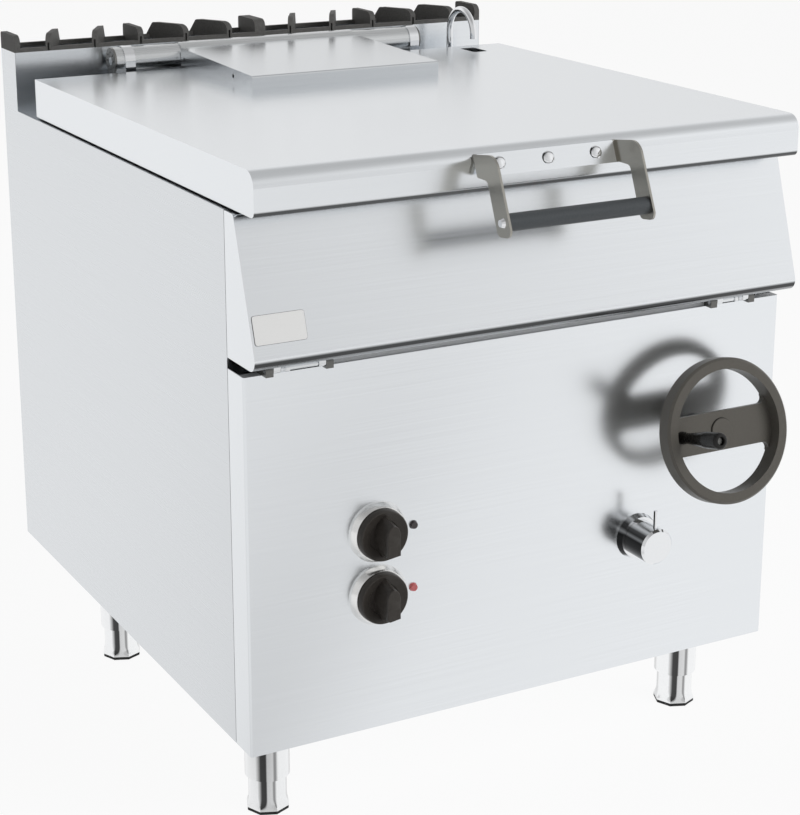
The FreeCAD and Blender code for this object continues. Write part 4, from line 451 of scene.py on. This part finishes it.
def grip_top(step):
    """The top of the grip: straight sides, an arched upper end and a flat lower end."""
    side, down = round_the_grip(step)
    along = GRIP_TOP_HIGH - (GRIP_TOP_HIGH - GRIP_TOP_LOW) * down
    width = 1.0
    if along > ARCH_START:
        width = math.sqrt(max(1.0 - ((along - ARCH_START) / ARCH_RISE) ** 1.7, 0.0))
    elif along < END_START:
        width = math.sqrt(max(1.0 - ((END_START - along) / END_RISE) ** 2, 0.0)) * 0.35 + 0.62
    return side * GRIP_TOP_HALF * width, along


def dial(name, node, body):
    """A dial in three pieces: conical metal ring, dished skirt and a tall grip with hollow flanks."""
    low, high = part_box(node)
    centre = Vector(((low.x + high.x) / 2, PANEL_Y, (low.z + high.z) / 2))
    turned(name + "_ring", "cabinet", BEZEL, centre, FORWARD, RING_PROFILE, DIAL_STEPS)
    skirt = turned(name + "_skirt", body, KNOB, centre, FORWARD, SKIRT_PROFILE,
                   DIAL_STEPS)
    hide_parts(node)
    verts = []
    for depth, share, less in GRIP_LEVELS:
        for step in range(GRIP_STEPS):
            foot, head = grip_foot(step), grip_top(step)
            across = foot[0] + (head[0] - foot[0]) * share
            along = foot[1] + (head[1] - foot[1]) * share
            scale = 1 - less / max(math.hypot(across, along), 0.001)
            verts.append(centre + Vector((across * scale, -depth, along * scale)) * MM)
    piece(name + "_grip", body, verts, skin(len(GRIP_LEVELS), GRIP_STEPS), [KNOB],
          sharp=28.0)


# Collars on a pivot pin, in millimetres: how far along the pin and how far out.
RIB_PITCH, RIB_COUNT = 1.8, 4
RIB_SHAPE = ((0.0, 3.4), (0.3, 4.6), (1.2, 4.6), (1.5, 3.4))
COLLAR_PROFILE = ((0.0, 3.3), (0.0, 4.5), (0.4, 4.9), (5.4, 4.9), (5.8, 4.5), (5.8, 3.3))
TIP_PROFILE = ((0.0, 3.3), (0.0, 3.9), (0.4, 4.2), (2.6, 4.2), (3.0, 3.9), (3.0, 3.3))
# For each side: where the collars start, which way they go, and how far on the tip lies, in metres.
PIVOT_SIDES = (("left", -0.3566, 1, 0.0513), ("right", 0.3296, -1, 0.0333))
COLLAR_PLACE = 0.0071


def pivot_collars():
    """Ribbed and plain thrust collars on both pivot pins."""
    ribs = [(RIB_PITCH * number + along, radius) for number in range(RIB_COUNT)
            for along, radius in RIB_SHAPE]
    for side, start, way, tip in PIVOT_SIDES:
        for name, material, place, profile in (
                ("pivot_ribs_", CHROME, 0.0, ribs), ("pivot_collar_", POLISHED, COLLAR_PLACE, COLLAR_PROFILE),
                ("pivot_tip_", POLISHED, tip, TIP_PROFILE)):
            turned(name + side, "cabinet", material,
                   (start + way * place, PIVOT_Y, PIVOT_Z), (way, 0, 0), profile)


# A foot, in millimetres: radius of the neck, half width of the octagon, and for each level its
# height, the share of the octagon, and how much smaller it is. The last three are the rubber pad.
FOOT_NECK, FOOT_FLAT, FOOT_STEPS = 25.5, 27.6, 64
FOOT_LEVELS = ((60, 0.0, 0.0), (50, 0.0, 0.0), (40, 0.0, 0.0), (30, 0.0, 0.0), (22, 0.0, 0.0),
               (19, 0.04, 0.0), (16, 0.14, 0.0), (13, 0.34, 0.0), (10, 0.62, 0.0), (8, 0.80, 0.0),
               (6.4, 0.93, 0.0), (5, 1.0, 0.0), (5, 1.0, 0.5), (0.8, 1.0, 0.5), (0, 1.0, 1.2))
PAD_TOP = 0.00501


def levelling_foot(name, node, body):
    """A round neck that flares into an octagon, on a rubber pad of the same outline."""
    low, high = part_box(node)
    middle_x, middle_y = (low.x + high.x) / 2, (low.y + high.y) / 2
    verts = []
    for height, share, less in FOOT_LEVELS:
        for step in range(FOOT_STEPS):
            angle = 2 * math.pi * step / FOOT_STEPS
            octagon = FOOT_FLAT / math.cos(angle % (math.pi / 4) - math.pi / 8)
            radius = FOOT_NECK + (octagon - FOOT_NECK) * share - less
            verts.append((middle_x + radius * math.cos(angle) * MM,
                          middle_y + radius * math.sin(angle) * MM, height * MM))
    # The neck and the octagon carry the legs' painted reflections; the pad is plain rubber.
    foot = piece(name, body, verts, skin(len(FOOT_LEVELS), FOOT_STEPS),
                 [LEG_PAINTED_REFLECTIONS, RUBBER], lambda centre, normal: 1 if centre.z < PAD_TOP else 0, 30.0)
    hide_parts(node)


# The hub's cap and the groove round it, in millimetres along the shaft and out.
HUB_STEPS = 64
HUB_PROFILE = ((-0.4, 8.0), (-0.4, 16.4), (1.9, 16.4), (2.4, 15.9), (2.4, 1.0))
GROOVE_PROFILE = ((-0.4, 16.4), (-0.4, 17.4), (0.15, 17.2), (0.15, 16.45))


def hub_cover():
    """The flat cap on the handwheel's hub, in a fine dark groove."""
    axis = Vector((0.0, -math.cos(SHAFT_LEAN), math.sin(SHAFT_LEAN)))
    start = SHAFT_START + axis * WEB_FACE
    cap = turned("hub_cover", "wheel", WHEEL, start, axis, HUB_PROFILE, HUB_STEPS)
    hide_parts("hub_cap")
    turned("hub_groove", "wheel", BLACK, start, axis, GROOVE_PROFILE, HUB_STEPS)


# The trim's two ends, and its outline in depth and height.
TRIM_ENDS = (-0.300, 0.290)
TRIM_OUTLINE = ((-0.3570, 0.63505), (-0.3570, 0.6458), (-0.3562, 0.6466), (-0.3480, 0.6466),
                (-0.3480, 0.6458), (-0.3558, 0.6458), (-0.3561, 0.6455), (-0.3561, 0.63505))


def gap_trim():
    """A folded trim on the front panel's top flange, in the gap under the fascia."""
    verts = [(x, y, z) for x in TRIM_ENDS for y, z in TRIM_OUTLINE]
    piece("gap_trim", "cabinet", verts, skin(2, len(TRIM_OUTLINE)), [DULL])


# The slope of the handle's base plate in depth and height, its screws, and their slots.
BASE_TOP = (-0.388364, 0.881)
BASE_FOOT = (-0.399864, 0.855)
SCREW_Z = 0.869
SCREW_X = (-0.0695, 0.0005, 0.0705)
SCREW_PROFILE = ((0.02, 2.0), (0.02, 8.2), (0.9, 8.2), (1.9, 7.4), (2.7, 5.6), (3.2, 3.0), (3.3, 0.4))
SLOT_LONG, SLOT_WIDE = 0.0064, 0.0008
SLOT_LEVELS, SLOT_CREST = (0.0026, 0.0021), 0.00345


def handle_screws():
    """Domed slotted heads over the three screws in the handle's base plate."""
    lean = math.atan2(BASE_TOP[0] - BASE_FOOT[0], BASE_TOP[1] - BASE_FOOT[1])
    out = Vector((0.0, -math.cos(lean), math.sin(lean)))
    down = Vector((0.0, -math.sin(lean), -math.cos(lean)))
    along = (Vector((1.0, 0.0, 0.0)) * 0.5 + down * 0.87).normalized()
    across = along.cross(out)
    faces = skin(2, 4)
    faces[1:2] = [(4 + step, 4 + (step + 1) % 4, 8) for step in range(4)]
    for number, x in enumerate(SCREW_X, 1):
        spot = Vector((x, BASE_TOP[0] - (BASE_TOP[1] - SCREW_Z) * math.tan(lean), SCREW_Z))
        # The screw heads carry the tap's painted reflections.
        turned("handle_screw_%d" % number, "lid", TAP, spot, out, SCREW_PROFILE)
        verts = [spot + out * level + along * a * SLOT_LONG + across * b * SLOT_WIDE
                 for level in SLOT_LEVELS for a, b in ((-1, -1), (1, -1), (1, 1), (-1, 1))]
        verts.append(spot + out * SLOT_CREST)
        piece("screw_slot_%d" % number, "lid", verts, faces, [BLACK])


nameplate()
for side in ("front_left", "front_right", "rear_left", "rear_right"):
    levelling_foot(side + "_flared_foot", side + "_foot", "foot_" + side)
hub_cover()
gap_trim()
handle_screws()
dial("selector_dial", "selector_knob", "selector")
dial("thermostat_dial", "thermostat_knob", "temperature_dial")
pivot_collars()

for width, names in (
        (0.0006, "lid_shell pan_fascia front_control_panel hinge_box left_side_panel right_side_panel "
                 "flue_duct back_panel handle_bracket"),
        (0.0012, "flue_grille_left flue_grille_right"),
        (0.0008, "handwheel")):
    for name in names.split():
        soften(NODES[name], width)

# What the floor and the surroundings show in reflections, from the right to the front left.
FRONT_LEFT = (-0.8, -0.6, 0.0)
FLOOR_BANDS = [(0.0, 1.0), (0.42, 0.95), (0.61, 0.74), (0.85, 0.86), (1.2, 0.93)]
SKY_BANDS = [(-1.0, 0.84), (-0.1, 1.0), (0.25, 0.69)]
FLOOR_REACH, FLOOR_PALE = 9.0, 0.93
SOFT_LIGHT = 0.24


def seen_plainly(tree, share=1.0):
    """A share for rays from the camera, in reflections and through glass; 0 for light on things."""
    rays = tree.nodes.new("ShaderNodeLightPath").outputs
    through = calculate(tree, "MAXIMUM", rays["Is Glossy Ray"], rays["Is Transmission Ray"])
    seen = calculate(tree, "MAXIMUM", rays["Is Camera Ray"], through)
    return calculate(tree, "MULTIPLY", seen, share)


def white_to_camera(tree, colour):
    """A colour that gives way to white where the camera sees it directly."""
    rays = tree.nodes.new("ShaderNodeLightPath").outputs
    return mix(tree, "MIX", colour, grey(1.0), rays["Is Camera Ray"])


def lay_floor():
    """A pale floor: it takes shadows, and is near white to the camera."""
    mesh = bpy.data.meshes.new("floor")
    corners = ((-1, -1), (1, -1), (1, 1), (-1, 1))
    mesh.from_pydata([(x * FLOOR_REACH, y * FLOOR_REACH, 0.0) for x, y in corners], [], [(0, 1, 2, 3)])
    floor = bpy.data.objects.new("floor", mesh)
    bpy.context.scene.collection.objects.link(floor)
    pale = bpy.data.materials.new("pale_floor")
    pale.use_nodes = True
    tree = pale.node_tree
    shader = tree.nodes["Principled BSDF"]
    shader.inputs["Base Color"].default_value = grey(FLOOR_PALE)
    shader.inputs["Roughness"].default_value = 0.9
    shader.inputs["Specular IOR Level"].default_value = 0.1
    glow = tree.nodes.new("ShaderNodeEmission")
    glow.inputs["Strength"].default_value = 1.0
    spot = tree.nodes.new("ShaderNodeNewGeometry")
    shade = bands(tree, spot.outputs["Position"], FRONT_LEFT, FLOOR_BANDS)
    tree.links.new(white_to_camera(tree, shade), glow.inputs["Color"])
    both = either(tree, seen_plainly(tree, FLOOR_PALE), shader.outputs[0], glow.outputs[0])
    tree.links.new(both, tree.nodes["Material Output"].inputs["Surface"])
    mesh.materials.append(pale)


def surround():
    """Soft light on things from all around, and a plain room in reflections."""
    world = bpy.data.worlds.new("studio")
    bpy.context.scene.world = world
    world.use_nodes = True
    tree = world.node_tree
    tree.nodes.clear()
    soft = tree.nodes.new("ShaderNodeBackground")
    soft.inputs["Strength"].default_value = SOFT_LIGHT
    plain = tree.nodes.new("ShaderNodeBackground")
    plain.inputs["Strength"].default_value = 1.0
    direction = tree.nodes.new("ShaderNodeTexCoord").outputs["Generated"]
    height = colours(tree, component(tree, direction, "Z"), [(0.45, grey(1.0)), (0.88, grey(0.56))],
                     "EASE")
    shade = mix(tree, "MULTIPLY", height, bands(tree, direction, FRONT_LEFT, SKY_BANDS))
    tree.links.new(white_to_camera(tree, shade), plain.inputs["Color"])
    both = either(tree, seen_plainly(tree), soft.outputs[0], plain.outputs[0])
    tree.links.new(both, tree.nodes.new("ShaderNodeOutputWorld").inputs["Surface"])


# Each lamp's place, size in metres and power in watts. All of them point at the part's middle.
LAMPS = (
    ("key_lamp", (2.2, -3.4, 2.6), (3.0, 2.6), 76.0),
    ("fill_lamp", (-3.2, -2.0, 2.6), (2.2, 2.6), 4.0),
    ("back_lamp", (0.4, 3.4, 3.2), (3.0, 2.0), 22.0),
)
MIDDLE = Vector((0.0, 0.0, 0.45))


def hang_lamps():
    """Broad lamps that light the surfaces but leave no mark in reflections."""
    for name, place, size, power in LAMPS:
        light = bpy.data.lights.new(name, "AREA")
        light.shape = "RECTANGLE"
        light.size, light.size_y = size
        light.energy = power
        thing = bpy.data.objects.new(name, light)
        thing.location = place
        thing.rotation_euler = (MIDDLE - Vector(place)).to_track_quat("-Z", "Y").to_euler()
        thing.visible_glossy = False
        bpy.context.scene.collection.objects.link(thing)


def place_camera():
    """The photograph's viewpoint."""
    lens = bpy.data.cameras.new("camera")
    lens.sensor_width = 36.0
    lens.lens = 89.05
    lens.shift_x = 0.01093
    lens.shift_y = -0.0795
    camera = bpy.data.objects.new("camera", lens)
    camera.location = (-1.32873, -2.44798, 1.3523)
    camera.rotation_euler = (math.radians(90 - 16.46), 0.0, math.radians(-28.38))
    bpy.context.scene.collection.objects.link(camera)
    bpy.context.scene.camera = camera


lay_floor()
surround()
hang_lamps()
place_camera()

bpy.context.scene.view_settings.view_transform = "Standard"
